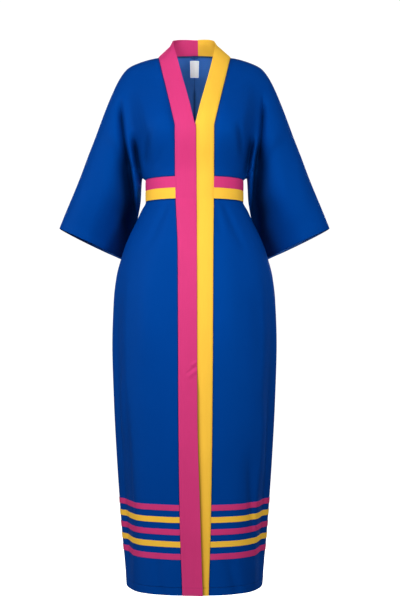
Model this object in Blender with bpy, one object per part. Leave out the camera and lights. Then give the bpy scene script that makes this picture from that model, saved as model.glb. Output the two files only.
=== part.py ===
"""A long wrap-front dress with wide sleeves cut in one with the bodice.

The garment keeps its worn form with nobody in it. Every piece is a wall of cloth about a
surface that is worked out from the tables below. Lengths are in millimetres. The origin is
at the base of the neck between the shoulders, the front faces -Y and +Z is up. The tables
give the side at +X, and the other side is its mirror image.
"""

import math
from collections import namedtuple

import bpy
from mathutils import Vector

# Cloth and seams
CLOTH = 1.5           # thickness of a panel, collar or band
TAPE = 1.0            # thickness of a hem stripe or the label
SEAM = 0.3            # gap between two pieces at a seam, and under a piece that lies on another
LAP = 2.4             # how far the under band lies behind the upper one
MM = 0.001

# Heights
WAIST_TOP = -314.0    # bodice meets the upper waistband
WAIST_JOIN = -342.0   # upper waistband meets the lower one
WAIST_LOW = -369.0    # lower waistband meets the skirt
HEM = -1340.0
V_POINT = -190.0      # where the two front bands cross

# The centre front, where the upper band laps over the under one
BAND_HALF = 48.0      # from the crossing's centre line to a band's seam edge
CENTRE_CROWN = 7.5    # how far the centre line stands before the seam edges
COLLAR_SWELL = 1.8    # how far a half collar swells forwards across its width
LAP_START = 30.0      # the under band steps back from this x over LAP_RUN
LAP_RUN = 20.0
LAP_RISE = 50.0       # and from this far above the crossing
LAP_SINK = 30.0
SLIT_TOP = -773.0     # below it the upper band's free edge stands off
SLIT_LIFT = 7.0       # how far it stands off at the hem

# Half sizes of the waist, seen from above
WAIST_SIDE = 124.5
WAIST_FRONT = 95.0
WAIST_BACK = 90.0

# A line of cloth on the bodice, from its top edge down to its low edge.
# at: place of the line, below 0 on the back neck, 0 at the neck point, 12 at the cuff
# top_*: point on the neck, shoulder and overarm edge; low_*: point on the waist or underarm edge
# crown: how far a sleeve line stands out; swell: the same for the chest or the shoulder blade
# roll: 1 where the cloth rolls over the shoulder; tube: 1 where it also rolls under the arm
# tuck: how far the low edge is drawn back beside the body
Line = namedtuple("Line", "at top_x top_y top_z low_x low_y low_z crown swell roll tube tuck")

SLEEVE_LINES = [
    Line(7, 254, 18, -199, 124.5, 0, -314, 40, 0, 1, 0.6, 0),
    Line(8, 274, 22, -249, 134, 2, -309, 45, 0, 1, 1, 2),
    Line(9, 295, 28, -303, 140, 18, -362, 52, 0, 1, 1, 26),
    Line(10, 318, 34, -357, 151, 42, -410, 54, 0, 1, 1, 42),
    Line(11, 336, 38, -398, 162, 62, -458, 52, 0, 1, 1, 48),
    Line(12, 350, 42, -433, 175, 75, -515, 50, 0, 1, 1, 48),
]
FRONT_LINES = [
    Line(0, 92, 10, 2, 48, 0, -314, 0, 30, 1, 0, 0),
    Line(1, 118, 10, -4, 66, 0, -314, 0, 40, 1, 0, 0),
    Line(2, 146, 10, -13, 86, 0, -314, 2, 40, 1, 0, 0),
    Line(3, 170, 10, -25, 102, 0, -314, 6, 24, 1, 0.05, 0),
    Line(4, 188, 10, -46, 114, 0, -314, 14, 8, 1, 0.1, 0),
    Line(5, 205, 12, -77, 119.5, 0, -314, 24, 0, 1, 0.15, 0),
    Line(6, 229, 14, -134, 123, 0, -314, 32, 0, 1, 0.2, 0),
] + SLEEVE_LINES
BACK_LINES = [
    Line(-3, 0, 62, 20, 0, 0, -314, 0, 18, 0, 0, 0),
    Line(-2, 46, 55, 17, 24, 0, -314, 0, 24, 0, 0, 0),
    Line(-1, 78, 38, 10, 42, 0, -314, 0, 30, 0.3, 0, 0),
    Line(0, 92, 10, 2, 54, 0, -314, 0, 34, 1, 0, 0),
    Line(1, 118, 10, -4, 70, 0, -314, 2, 36, 1, 0, 0),
    Line(2, 146, 10, -13, 87, 0, -314, 6, 34, 1, 0, 0),
    Line(3, 170, 10, -25, 102, 0, -314, 12, 24, 1, 0.05, 0),
    Line(4, 188, 10, -46, 114, 0, -314, 20, 12, 1, 0.1, 0),
    Line(5, 205, 12, -77, 119.5, 0, -314, 28, 2, 1, 0.15, 0),
    Line(6, 229, 14, -134, 123, 0, -314, 34, 0, 1, 0.2, 0),
] + SLEEVE_LINES
FRONT_PEAK = 1.3      # above 1 the chest swells low on its lines
BACK_PEAK = 0.76      # below 1 the shoulder blade swells high
NECK_LINES = 3        # lines between the centre back and the neck point
EDGE_LINES = 3        # lines over which the bend of the front edge dies out
TUCK_FROM = 0.4       # share of a front line from which the sleeve is drawn back

# The skirt, a row for each height. full: 2 for an ellipse, more for a squarer round
# fold: how far the cloth falls flat beside the side seam
Ring = namedtuple("Ring", "at side front back full fold")
RINGS = [
    Ring(WAIST_TOP, WAIST_SIDE, WAIST_FRONT, WAIST_BACK, 2, 0),
    Ring(-369, 124.5, 95, 92, 2, 0),
    Ring(-394, 136, 101, 100, 2, 0),
    Ring(-420, 148, 106, 108, 2, 0),
    Ring(-450, 163, 111, 117, 2, 0),
    Ring(-480, 176, 115, 125, 2, 0),
    Ring(-517, 188, 119, 132, 2, 0),
    Ring(-560, 199, 122, 138, 2, 0.05),
    Ring(-620, 206, 125, 143, 2, 0.1),
    Ring(-735, 210, 127, 145, 2, 0.2),
    Ring(-876, 206, 126, 142, 2, 0.35),
    Ring(-1029, 198, 124, 138, 2, 0.5),
    Ring(-1132, 191, 126, 135, 2, 0.6),
    Ring(-1234, 183, 131, 133, 2.1, 0.6),
    Ring(-1295, 177, 138, 135, 2.4, 0.3),
    Ring(HEM, 173, 145, 138, 2.6, 0.05),
]
FOLD_FROM = 54.0      # degrees from the centre line where the side fold begins
FOLD_TO = 67.0        # and where it is flat

# The front closing, a row for each height: both edges of each band, +X to the wearer's left
Closing = namedtuple("Closing", "at right_seam right_free left_free left_seam")
CLOSINGS = [
    Closing(-150, -BAND_HALF, 3, 1, BAND_HALF),
    Closing(-196, -BAND_HALF, 3, 1, BAND_HALF),
    Closing(WAIST_TOP, -BAND_HALF, 4, -1, BAND_HALF),
    Closing(-500, -41, 5, -3, 46),
    Closing(-900, -39, 6.5, -5, 43.5),
    Closing(-1150, -36, 13.5, -8, 40),
    Closing(HEM, -29, 19.5, -12, 34),
]

# The half collar and band above the crossing, for the wearer's right (-1) and left (1).
# plan: way across the band seen from above, 0 straight forwards and 90 to the centre line;
# rise: its climb, both in degrees. The left half leans in more
Collar = namedtuple("Collar", "at plan rise width")
COLLARS = {
    -1: [
        Collar(-3, 0, 82, 39.5),
        Collar(-1.5, 40, 68, 41.5),
        Collar(-0.5, 75, 54, 48),
        Collar(0, 88, 47, 50.5),
        Collar(0.25, 93, 40, 48.5),
        Collar(0.5, 95, 24, 46.5),
        Collar(0.73, 97, 0, 48.5),
    ],
    1: [
        Collar(-3, 0, 82, 39.5),
        Collar(-1.5, 40, 60, 43),
        Collar(-0.5, 75, 49, 48),
        Collar(0, 88, 45, 49.5),
        Collar(0.25, 93, 40, 46.5),
        Collar(0.5, 95, 24, 43.5),
        Collar(0.73, 97, 0, 46.5),
    ],
}
COLLAR_JOIN = 0.2     # the collar's back seam lies this many lines to the wearer's left

# Large folds on the bodice, seen from the front or the back: three points x and z,
# then width and depth. A fold goes inwards
Fold = namedtuple("Fold", "x0 z0 x1 z1 x2 z2 width depth")
FRONT_FOLDS = [
    Fold(181, -85, 171, -235, 150, -390, 15, 28),
    Fold(149, -195, 143, -252, 133, -306, 10, 14),
    Fold(158, -380, 158, -440, 174, -500, 20, 12),
]
BACK_FOLDS = [
    Fold(178, -80, 173, -230, 153, -390, 15, 20),
    Fold(146, -200, 141, -250, 133, -300, 10, 10),
    Fold(170, -330, 180, -400, 200, -470, 15, 8),
]

# Hem stripes
STRIPE_TOP = -1124.0
STRIPE_PITCH = 29.6
STRIPE_TALL = 13.5
STRIPES = 5

# Label and hanging loop inside the back neck
LABEL_HALF = 0.25     # half width of the label, in lines of the back neck
LABEL_TOP = 0.037     # share of the centre back line above the label
LABEL_LOW = 0.16
LABEL_GAP = 0.5       # gap behind the label
LOOP_HALF = 0.3       # half width of the loop, in lines of the back neck
LOOP_DROP = 0.021     # share of the back line down to the loop's bend
LOOP_CORD = 1.1       # radius of the loop's cord
LOOP_FROM = 25        # degrees of its arc at which its ends are sewn in
LOOP_STEPS = 10

# Rows and columns of the pieces
BACK_NECK_AT = [-3, -2.5, -2, -1.5, -1, -0.6, -0.3]
LEVEL_NECK = 3        # of these, the first whose neck seam lies level
SLEEVE_AT = [0, 0.6, 1.2, 1.8, 2.4, 3, 3.5, 4, 4.5, 5, 5.5, 6, 6.5, 7, 8, 8.5, 9, 9.7, 10.4, 11.2, 12]
LINE_STEPS = 14
PLAIN_HEIGHTS = [WAIST_LOW, -394, -420, -450, -480, -517, -560, -620, -690, -780, -876, -960, -1040]
SKIRT_COLUMNS = 10
BAND_COLUMNS = 3

COLOURS = {
    "blue": (0.004, 0.055, 0.305),
    "pink": (0.745, 0.048, 0.235),
    "yellow": (0.98, 0.58, 0.07),
    "white": (0.80, 0.82, 0.86),
}
FRONT = Vector((0, -1, 0))
BACK = Vector((0, 1, 0))
UP = Vector((0, 0, 1))


def ease(value):
    """A soft step from 0 to 1."""
    value = min(max(value, 0.0), 1.0)
    return value * value * (3 - 2 * value)


def mix(first, second, share):
    return first + (second - first) * share


def column(rows, name, at):
    """One column of a table at a place between its rows, on a smooth curve that never overshoots."""
    places = [row.at for row in rows]
    values = [getattr(row, name) for row in rows]
    if places[0] > places[-1]:
        places.reverse()
        values.reverse()
    at = min(max(at, places[0]), places[-1])
    steps = [(values[i + 1] - values[i]) / (places[i + 1] - places[i]) for i in range(len(rows) - 1)]
    slopes = [steps[0]]
    for before, after in zip(steps, steps[1:]):
        slopes.append(2 * before * after / (before + after) if before * after > 0 else 0.0)
    slopes.append(steps[-1])
    i = max(k for k in range(len(steps)) if places[k] <= at)
    length = places[i + 1] - places[i]
    t = (at - places[i]) / length
    return (values[i] * (1 + 2 * t) * (1 - t) ** 2 + values[i + 1] * t * t * (3 - 2 * t)
            + length * slopes[i] * t * (1 - t) ** 2 - length * slopes[i + 1] * t * t * (1 - t))


def span(first, last, steps):
    return [mix(first, last, k / steps) for k in range(steps + 1)]


def ring_point(height, turn, facing):
    """Point of the waist or skirt, turn degrees round from the centre line to the side seam."""
    side = column(RINGS, "side", height)
    deep = column(RINGS, "front" if facing < 0 else "back", height)
    fold = column(RINGS, "fold", height)
    power = 2 / column(RINGS, "full", height)
    angle = math.radians(turn)
    flat = 1 - fold * ease((turn - FOLD_FROM) / (FOLD_TO - FOLD_FROM))
    return Vector((side * math.sin(angle) ** power, facing * deep * flat * math.cos(angle) ** power, height))


def ring_turn(height, x):
    """Degrees round from the centre line at which the ring reaches this x."""
    share = min(abs(x) / column(RINGS, "side", height), 1.0)
    return math.degrees(math.asin(share ** (column(RINGS, "full", height) / 2)))


def fold_depth(folds, x, z):
    """How far the folds push the cloth in at a place seen from the front."""
    depth = 0.0
    for fold in folds:
        knots = [Vector((fold.x0, fold.z0)), Vector((fold.x1, fold.z1)), Vector((fold.x2, fold.z2))]
        near = (1e9, 0.0)
        for k in range(2):
            run = knots[k + 1] - knots[k]
            share = min(max((Vector((x, z)) - knots[k]).dot(run) / run.length_squared, 0.0), 1.0)
            near = min(near, ((knots[k] + run * share - Vector((x, z))).length, (k + share) / 2))
        depth += fold.depth * math.exp(-(near[0] / fold.width) ** 2) * math.sin(math.pi * near[1]) ** 0.5
    return depth


def bodice_point(lines, folds, facing, at, down):
    """Point of the bodice and sleeve on one line, down from its top edge (0) to its low one (1)."""
    if at < -NECK_LINES:
        mirrored = bodice_point(lines, folds, facing, -2 * NECK_LINES - at, down)
        return Vector((-mirrored.x, mirrored.y, mirrored.z))
    line = Line(at, *[column(lines, name, at) for name in Line._fields[1:]])
    quarter = math.sin(math.pi * down / 2)
    over = mix(down, 1 - math.cos(math.pi * down / 2), line.roll)
    under = (1 - math.cos(math.pi * down)) / 2
    share = mix(over, under, line.tube)
    reach = mix(mix(down, quarter, line.roll), under, line.tube)
    straight = 1 - share
    bent = max(0.0, 1 - share * (WAIST_TOP - 2) / (V_POINT - 2))
    edge = (1 - ease(at / EDGE_LINES)) if facing < 0 else 0.0
    x = line.low_x + (line.top_x - line.low_x) * mix(straight, bent, edge)
    z = mix(line.top_z, line.low_z, share)
    low_y = line.low_y
    if line.low_x < WAIST_SIDE:
        waist = WAIST_FRONT if facing < 0 else WAIST_BACK
        low_y += facing * waist * math.sqrt(1 - (line.low_x / WAIST_SIDE) ** 2)
    peak = FRONT_PEAK if facing < 0 else BACK_PEAK
    out = line.crown * math.sin(math.pi * down) + line.swell * math.sin(math.pi * share ** peak) ** 2
    calm = ease(down / 0.15) * ease((1 - down) / 0.15) * ease((at + NECK_LINES) / 2)
    out -= fold_depth(folds, x, z) * calm
    tuck = line.tuck * (ease((share - TUCK_FROM) / (1 - TUCK_FROM)) if facing < 0 else reach)
    return Vector((x, mix(line.top_y, low_y, reach) + tuck + facing * out, z))


def front_point(at, down):
    return bodice_point(FRONT_LINES, FRONT_FOLDS, -1, at, down)


def back_point(at, down):
    return bodice_point(BACK_LINES, BACK_FOLDS, 1, at, down)


def centre_depth(x, height):
    """How far forward the cloth lies at the centre front."""
    if height <= WAIST_TOP:
        return ring_point(height, ring_turn(height, x), -1).y
    share = (height - 2) / (WAIST_TOP - 2)
    edge = front_point(0, math.acos(1 - share) * 2 / math.pi).y
    return edge - CENTRE_CROWN * (1 - min(abs(x) / BAND_HALF, 1) ** 2)


def band_seam(side, at):
    """Seam edge of a half collar and band: back neck below 0, front edge to 1, then to 2 at the hem."""
    if at < 0:
        point = back_point(at, 0)
    elif at <= 1:
        point = front_point(0, at)
    else:
        height = mix(WAIST_TOP, HEM, at - 1)
        x = abs(column(CLOSINGS, "right_seam" if side < 0 else "left_seam", height))
        point = Vector((x, centre_depth(x, height), height))
    return Vector((side * point.x, point.y, point.z))


def band_point(side, at, across):
    """Point of a half collar and band, across from its seam edge (0) to its free edge (1)."""
    seam = band_seam(side, at)
    if at < 0 or seam.z > V_POINT:
        plan = math.radians(column(COLLARS[side], "plan", at))
        rise = math.radians(column(COLLARS[side], "rise", at))
        if at < -NECK_LINES:
            plan = -plan
        level = math.cos(rise)
        step = Vector((-side * math.sin(plan) * level, -math.cos(plan) * level, math.sin(rise)))
        if at > 0:
            step.y = -CENTRE_CROWN / BAND_HALF * ease(at)
        point = seam + step * column(COLLARS[side], "width", at) * across
        point.y -= COLLAR_SWELL * math.sin(math.pi * across) * ease(at)
    else:
        free = column(CLOSINGS, "right_free" if side < 0 else "left_free", seam.z)
        x = mix(seam.x, free, across)
        point = Vector((x, centre_depth(x, seam.z), seam.z))
    if side > 0:
        lapped = ease((LAP_START - point.x) / LAP_RUN)
        point.y += LAP * lapped * ease((V_POINT + LAP_RISE - point.z) / LAP_SINK)
    elif point.z < SLIT_TOP:
        point.y -= SLIT_LIFT * across ** 3 * ease((SLIT_TOP - point.z) / (SLIT_TOP - HEM))
    return point


class Cloth:
    """A grid of points on a piece of cloth, with the way out from each."""

    def __init__(self, points, out, turned):
        self.points = points
        self.out = out
        self.turned = turned

    @classmethod
    def facing(cls, points, outside):
        """A piece whose middle looks the given way."""
        rows, columns = len(points), len(points[0])
        out = []
        for i in range(rows):
            row = []
            for j in range(columns):
                along = points[min(i + 1, rows - 1)][j] - points[max(i - 1, 0)][j]
                across = points[i][min(j + 1, columns - 1)] - points[i][max(j - 1, 0)]
                row.append(along.cross(across).normalized())
            out.append(row)
        turned = out[rows // 2][columns // 2].dot(outside) < 0
        if turned:
            out = [[-way for way in row] for row in out]
        return cls(points, out, turned)

    def edge(self, name):
        """Places on an edge, as row and column, and the step from it into the piece."""
        rows, columns = len(self.points), len(self.points[0])
        if name == "first row":
            return [(0, j) for j in range(columns)], (1, 0)
        if name == "last row":
            return [(rows - 1, j) for j in range(columns)], (-1, 0)
        if name == "first column":
            return [(i, 0) for i in range(rows)], (0, 1)
        return [(i, columns - 1) for i in range(rows)], (0, -1)

    def square(self, name, axis, last=None):
        """Stands the rim of an edge square to the seam's axis."""
        for i, j in self.edge(name)[0][:last]:
            way = self.out[i][j]
            self.out[i][j] = (way - axis * way.dot(axis)).normalized()

    def trim(self, name, width=SEAM * 0.65):
        """Cuts a little over half a seam gap, or the given width, off an edge."""
        places, step = self.edge(name)
        for i, j in places:
            inner = self.points[i + step[0]][j + step[1]]
            self.points[i][j] = self.points[i][j] + (inner - self.points[i][j]).normalized() * width

    def moved(self, distance):
        """The same piece moved outwards, for what lies on it."""
        points = [[p + w * distance for p, w in zip(*pair)] for pair in zip(self.points, self.out)]
        return Cloth(points, self.out, self.turned)

    def strip(self, row):
        """The strip of this piece between a row and the next."""
        return Cloth(self.points[row:row + 2], self.out[row:row + 2], self.turned)

    def backwards(self):
        """The same piece with its columns in the other order."""
        return Cloth([row[::-1] for row in self.points], [row[::-1] for row in self.out], not self.turned)

    def joined(self, other):
        """This piece and the next as one, over the seam between them."""
        points = [a + b[1:] for a, b in zip(self.points, other.points)]
        return Cloth(points, [a + b[1:] for a, b in zip(self.out, other.out)], self.turned)


def sew(first, first_places, second, second_places):
    """Gives two edges that meet the same way out, so that their rims stand face to face."""
    for (i, j), (k, m) in zip(first_places, second_places):
        shared = (first.out[i][j] + second.out[k][m]).normalized()
        first.out[i][j] = shared
        second.out[k][m] = shared


def material(name):
    found = bpy.data.materials.get(name)
    if found is None:
        found = bpy.data.materials.new(name)
        found.use_nodes = True
        shader = found.node_tree.nodes["Principled BSDF"]
        shader.inputs["Base Color"].default_value = (*COLOURS[name], 1)
        shader.inputs["Roughness"].default_value = 0.55
        shader.inputs["Metallic"].default_value = 0.0
    return found


def wall(name, cloth, thickness, colour):
    """A closed solid: the cloth's points moved out and in by half its thickness."""
    rows, columns = len(cloth.points), len(cloth.points[0])
    spots = []
    for side in (0.5, -0.5):
        for points, ways in zip(cloth.points, cloth.out):
            spots += [(p + w * thickness * side) * MM for p, w in zip(points, ways)]
    inner = rows * columns
    faces = []
    for i in range(rows - 1):
        for j in range(columns - 1):
            a = i * columns + j
            faces.append((a, a + columns, a + columns + 1, a + 1))
            faces.append((inner + a, inner + a + 1, inner + a + columns + 1, inner + a + columns))
    border = [(0, j) for j in range(columns)] + [(i, columns - 1) for i in range(1, rows)]
    border += [(rows - 1, j) for j in range(columns - 2, -1, -1)] + [(i, 0) for i in range(rows - 2, 0, -1)]
    for (i, j), (k, m) in zip(border, border[1:] + border[:1]):
        a, b = i * columns + j, k * columns + m
        faces.append((a, b, inner + b, inner + a))
    if cloth.turned:
        faces = [tuple(reversed(face)) for face in faces]
    mesh = bpy.data.meshes.new(name)
    mesh.from_pydata(spots, [], faces)
    mesh.materials.append(material(colour))
    mesh.shade_smooth()
    mesh.set_sharp_from_angle(angle=math.radians(40))
    piece = bpy.data.objects.new(name, mesh)
    bpy.context.scene.collection.objects.link(piece)
    return piece


def flip(point, side):
    return Vector((side * point.x, point.y, point.z))


def skirt_heights():
    """Heights of the skirt's rows, with one at each edge of each hem stripe."""
    tops = [STRIPE_TOP - k * STRIPE_PITCH for k in range(STRIPES)]
    edges = [height for top in tops for height in (top, top - STRIPE_TALL)]
    return PLAIN_HEIGHTS + edges + [(edges[-1] + HEM) / 2, HEM]


def make_bodice_and_bands():
    """Front and back with their sleeve halves, and the half collars with their front bands."""
    downs = span(0, 1, LINE_STEPS)
    underarm = SLEEVE_AT.index(7)
    skirt_at = [1 + (height - WAIST_TOP) / (HEM - WAIST_TOP) for height in skirt_heights()]
    for side, word, colour in ((-1, "right", "pink"), (1, "left", "yellow")):
        front = Cloth.facing([[flip(front_point(at, d), side) for d in downs] for at in SLEEVE_AT], FRONT)
        back_at = BACK_NECK_AT + SLEEVE_AT
        back = Cloth.facing([[flip(back_point(at, d), side) for d in downs] for at in back_at], BACK)
        join = [-NECK_LINES - COLLAR_JOIN, -NECK_LINES] if side < 0 else [-NECK_LINES + COLLAR_JOIN]
        band_at = join + BACK_NECK_AT[1:] + downs + skirt_at
        acrosses = span(0, 1, BAND_COLUMNS)
        band = Cloth.facing([[band_point(side, at, across) for across in acrosses] for at in band_at], FRONT)

        neck = len(BACK_NECK_AT)
        joined = len(band_at) - len(skirt_at) - len(downs)
        sew(front, [(k, 0) for k in range(len(SLEEVE_AT))],
            back, [(k + neck, 0) for k in range(len(SLEEVE_AT))])
        sew(front, [(k, LINE_STEPS) for k in range(underarm, len(SLEEVE_AT))],
            back, [(k + neck, LINE_STEPS) for k in range(underarm, len(SLEEVE_AT))])
        sew(band, [(joined + k, 0) for k in range(1, len(downs))],
            front, [(0, k) for k in range(1, len(downs))])
        sew(band, [(joined - k, 0) for k in range(neck - LEVEL_NECK + 1)],
            back, [(neck - k, 0) for k in range(neck - LEVEL_NECK + 1)])
        band.square("first column", UP, joined - neck + LEVEL_NECK)
        back.square("first column", UP, LEVEL_NECK)
        front.out[0][0] = back.out[neck][0]
        front.square("last column", UP, underarm + 1)
        back.square("last column", UP, underarm + neck + 1)
        back.square("first row", Vector((1, 0, 0)))

        front.trim("first row")
        front.trim("first column")
        front.trim("last column")
        back.trim("first row")
        back.trim("first column")
        back.trim("last column")
        band.trim("first row")
        band.trim("first column", SEAM)
        wall("front_bodice_" + word, front, CLOTH, "blue")
        wall("back_bodice_" + word, back, CLOTH, "blue")
        wall("front_band_" + word + "_" + colour, band, CLOTH, colour)


def ring_piece(heights, facing, side, from_seam):
    """Part of the waist or skirt from the closing, or from the centre back, to the side seam."""
    points = []
    for height in heights:
        start = 0.0
        if from_seam:
            name = "right_seam" if side < 0 else "left_seam"
            start = ring_turn(height, column(CLOSINGS, name, height))
        turns = span(start, 90, SKIRT_COLUMNS)
        points.append([flip(ring_point(height, turn, facing), side) for turn in turns])
    return points


def whole_back(heights):
    """The back of the waist or skirt from side seam to side seam."""
    right = ring_piece(heights, 1, -1, False)
    left = ring_piece(heights, 1, 1, False)
    return [list(reversed(a))[:-1] + b for a, b in zip(right, left)]


def make_ring(name, heights, colour):
    """Two fronts and a back of a waistband or the skirt, sewn at the sides."""
    made = {}
    back = Cloth.facing(whole_back(heights), BACK)
    for side, word, edge in ((-1, "right", "first column"), (1, "left", "last column")):
        front = Cloth.facing(ring_piece(heights, -1, side, True), FRONT)
        sew(front, front.edge("last column")[0], back, back.edge(edge)[0])
        made[name + "_front_" + word] = front
    made[name + "_back"] = back
    for piece in made.values():
        piece.square("first row", UP)
        piece.trim("first row")
        piece.trim("first column")
        piece.trim("last column")
        if heights[-1] > HEM:
            piece.square("last row", UP)
            piece.trim("last row")
    for node, piece in made.items():
        wall(node, piece, CLOTH, colour)
    return made


def make_stripes(skirt):
    """Five narrow strips of cloth laid round the skirt above its hem, from band to band."""
    right, back, left = skirt["skirt_front_right"], skirt["skirt_back"], skirt["skirt_front_left"]
    for k in range(STRIPES):
        row = len(PLAIN_HEIGHTS) + 2 * k
        strip = right.strip(row).joined(back.strip(row)).joined(left.strip(row).backwards())
        colour = "pink" if k % 2 == 0 else "yellow"
        wall("hem_stripe_%d_%s" % (k + 1, colour), strip.moved(CLOTH / 2 + SEAM + TAPE / 2), TAPE, colour)


def make_label():
    """The bare label, inside the back neck across the centre back seam."""
    places = span(-NECK_LINES - LABEL_HALF, -NECK_LINES + LABEL_HALF, 4)
    downs = span(LABEL_TOP, LABEL_LOW, 4)
    back = Cloth.facing([[back_point(at, down) for at in places] for down in downs], BACK)
    wall("neck_label", back.moved(-CLOTH / 2 - LABEL_GAP - TAPE / 2), TAPE, "white")


def make_loop():
    """The hanging loop, a thin cord whose ends are sewn under the collar's back seam."""
    path = []
    for turn in span(LOOP_FROM, 180 - LOOP_FROM, LOOP_STEPS):
        angle = math.radians(turn)
        path.append((-NECK_LINES - LOOP_HALF * math.cos(angle), LOOP_DROP * math.sin(angle)))
    rows = [[back_point(at, down + step) for at, down in path] for step in (0, LOOP_DROP)]
    under = Cloth.facing(rows, BACK)
    spots = under.moved(-CLOTH / 2 - SEAM - LOOP_CORD).points[0]
    curve = bpy.data.curves.new("hanging_loop", "CURVE")
    curve.dimensions = "3D"
    curve.bevel_depth = LOOP_CORD * MM
    curve.bevel_resolution = 2
    curve.use_fill_caps = True
    spline = curve.splines.new("POLY")
    spline.points.add(len(spots) - 1)
    for point, spot in zip(spline.points, spots):
        point.co = (*(spot * MM), 1)
    curve.materials.append(material("blue"))
    bpy.context.scene.collection.objects.link(bpy.data.objects.new("hanging_loop", curve))


def main():
    for old in list(bpy.data.objects):
        bpy.data.objects.remove(old)
    make_bodice_and_bands()
    make_ring("waistband_upper", span(WAIST_TOP, WAIST_JOIN, 2), "pink")
    make_ring("waistband_lower", span(WAIST_JOIN, WAIST_LOW, 2), "yellow")
    skirt = make_ring("skirt", skirt_heights(), "blue")
    make_stripes(skirt)
    make_label()
    make_loop()


main()
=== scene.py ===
"""Cloth, seams and stitching of a long wrap-front dress with wide sleeves, and its studio.

Every panel is a thin shell of cloth on the form of its solid, with its folds laid one by one.
Lengths in the tables are in millimetres, and the meshes are in metres. The front faces -Y,
+Z is up, and +X is the wearer's left.
"""

import math
from collections import namedtuple

import bmesh
import bpy
import numpy as np
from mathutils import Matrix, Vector, noise


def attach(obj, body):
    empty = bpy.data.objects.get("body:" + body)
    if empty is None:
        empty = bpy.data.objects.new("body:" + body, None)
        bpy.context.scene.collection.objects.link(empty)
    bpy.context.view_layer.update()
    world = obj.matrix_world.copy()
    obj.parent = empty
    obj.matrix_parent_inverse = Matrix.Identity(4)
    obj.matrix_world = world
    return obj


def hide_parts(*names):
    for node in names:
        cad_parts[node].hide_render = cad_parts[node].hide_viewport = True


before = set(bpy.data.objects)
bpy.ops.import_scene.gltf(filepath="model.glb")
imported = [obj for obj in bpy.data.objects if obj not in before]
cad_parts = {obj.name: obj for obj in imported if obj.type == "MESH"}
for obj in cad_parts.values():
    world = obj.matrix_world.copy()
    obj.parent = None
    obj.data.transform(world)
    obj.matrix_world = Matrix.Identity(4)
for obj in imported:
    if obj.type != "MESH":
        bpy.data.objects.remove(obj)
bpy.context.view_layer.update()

bl_info = {
    "name": "Wrap-front dress",
    "version": (1, 0, 0),
    "blender": (4, 5, 0),
    "location": "3D View > Sidebar > Dress",
    "description": "Builds a long wrap-front dress with wide sleeves in its worn form",
    "category": "Add Mesh",
}

MM = 0.001

# Heights
WAIST_TOP = -314.0
WAIST_JOIN = -342.0
WAIST_LOW = -369.0
HEM = -1340.0
V_POINT = -190.0

# The centre front
BAND_HALF = 48.0
CENTRE_CROWN = 7.5
COLLAR_SWELL = 1.8
LAP = 2.4
LAP_START = 30.0
LAP_RUN = 20.0
LAP_RISE = 50.0
LAP_SINK = 30.0
SLIT_TOP = -773.0
SLIT_LIFT = 7.0
V_BLEND = 6.0         # height up and down over which the collar's slant turns into the upright band

# Half sizes of the waist
WAIST_SIDE = 124.5
WAIST_FRONT = 95.0
WAIST_BACK = 90.0

# A line of cloth on the bodice, from its top edge down to its low edge, as the solids have it
Line = namedtuple("Line", "at top_x top_y top_z low_x low_y low_z crown swell roll tube tuck")
SLEEVE_LINES = [
    Line(7, 254, 18, -199, 124.5, 0, -314, 40, 0, 1, 0.6, 0),
    Line(8, 274, 22, -249, 134, 2, -309, 45, 0, 1, 1, 2),
    Line(9, 295, 28, -303, 140, 18, -362, 52, 0, 1, 1, 26),
    Line(10, 318, 34, -357, 151, 42, -410, 54, 0, 1, 1, 42),
    Line(11, 336, 38, -398, 162, 62, -458, 52, 0, 1, 1, 48),
    Line(12, 350, 42, -433, 175, 75, -515, 50, 0, 1, 1, 48),
]
FRONT_LINES = [
    Line(0, 92, 10, 2, 48, 0, -314, 0, 30, 1, 0, 0),
    Line(1, 118, 10, -4, 66, 0, -314, 0, 40, 1, 0, 0),
    Line(2, 146, 10, -13, 86, 0, -314, 2, 40, 1, 0, 0),
    Line(3, 170, 10, -25, 102, 0, -314, 6, 24, 1, 0.05, 0),
    Line(4, 188, 10, -46, 114, 0, -314, 14, 8, 1, 0.1, 0),
    Line(5, 205, 12, -77, 119.5, 0, -314, 24, 0, 1, 0.15, 0),
    Line(6, 229, 14, -134, 123, 0, -314, 32, 0, 1, 0.2, 0),
] + SLEEVE_LINES
BACK_LINES = [
    Line(-3, 0, 62, 20, 0, 0, -314, 0, 18, 0, 0, 0),
    Line(-2, 46, 55, 17, 24, 0, -314, 0, 24, 0, 0, 0),
    Line(-1, 78, 38, 10, 42, 0, -314, 0, 30, 0.3, 0, 0),
    Line(0, 92, 10, 2, 54, 0, -314, 0, 34, 1, 0, 0),
    Line(1, 118, 10, -4, 70, 0, -314, 2, 36, 1, 0, 0),
    Line(2, 146, 10, -13, 87, 0, -314, 6, 34, 1, 0, 0),
    Line(3, 170, 10, -25, 102, 0, -314, 12, 24, 1, 0.05, 0),
    Line(4, 188, 10, -46, 114, 0, -314, 20, 12, 1, 0.1, 0),
    Line(5, 205, 12, -77, 119.5, 0, -314, 28, 2, 1, 0.15, 0),
    Line(6, 229, 14, -134, 123, 0, -314, 34, 0, 1, 0.2, 0),
] + SLEEVE_LINES
FRONT_PEAK = 1.3
BACK_PEAK = 0.76
NECK_LINES = 3
EDGE_LINES = 3
TUCK_FROM = 0.4       # share of a front line from which the sleeve is drawn back towards the body

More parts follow.
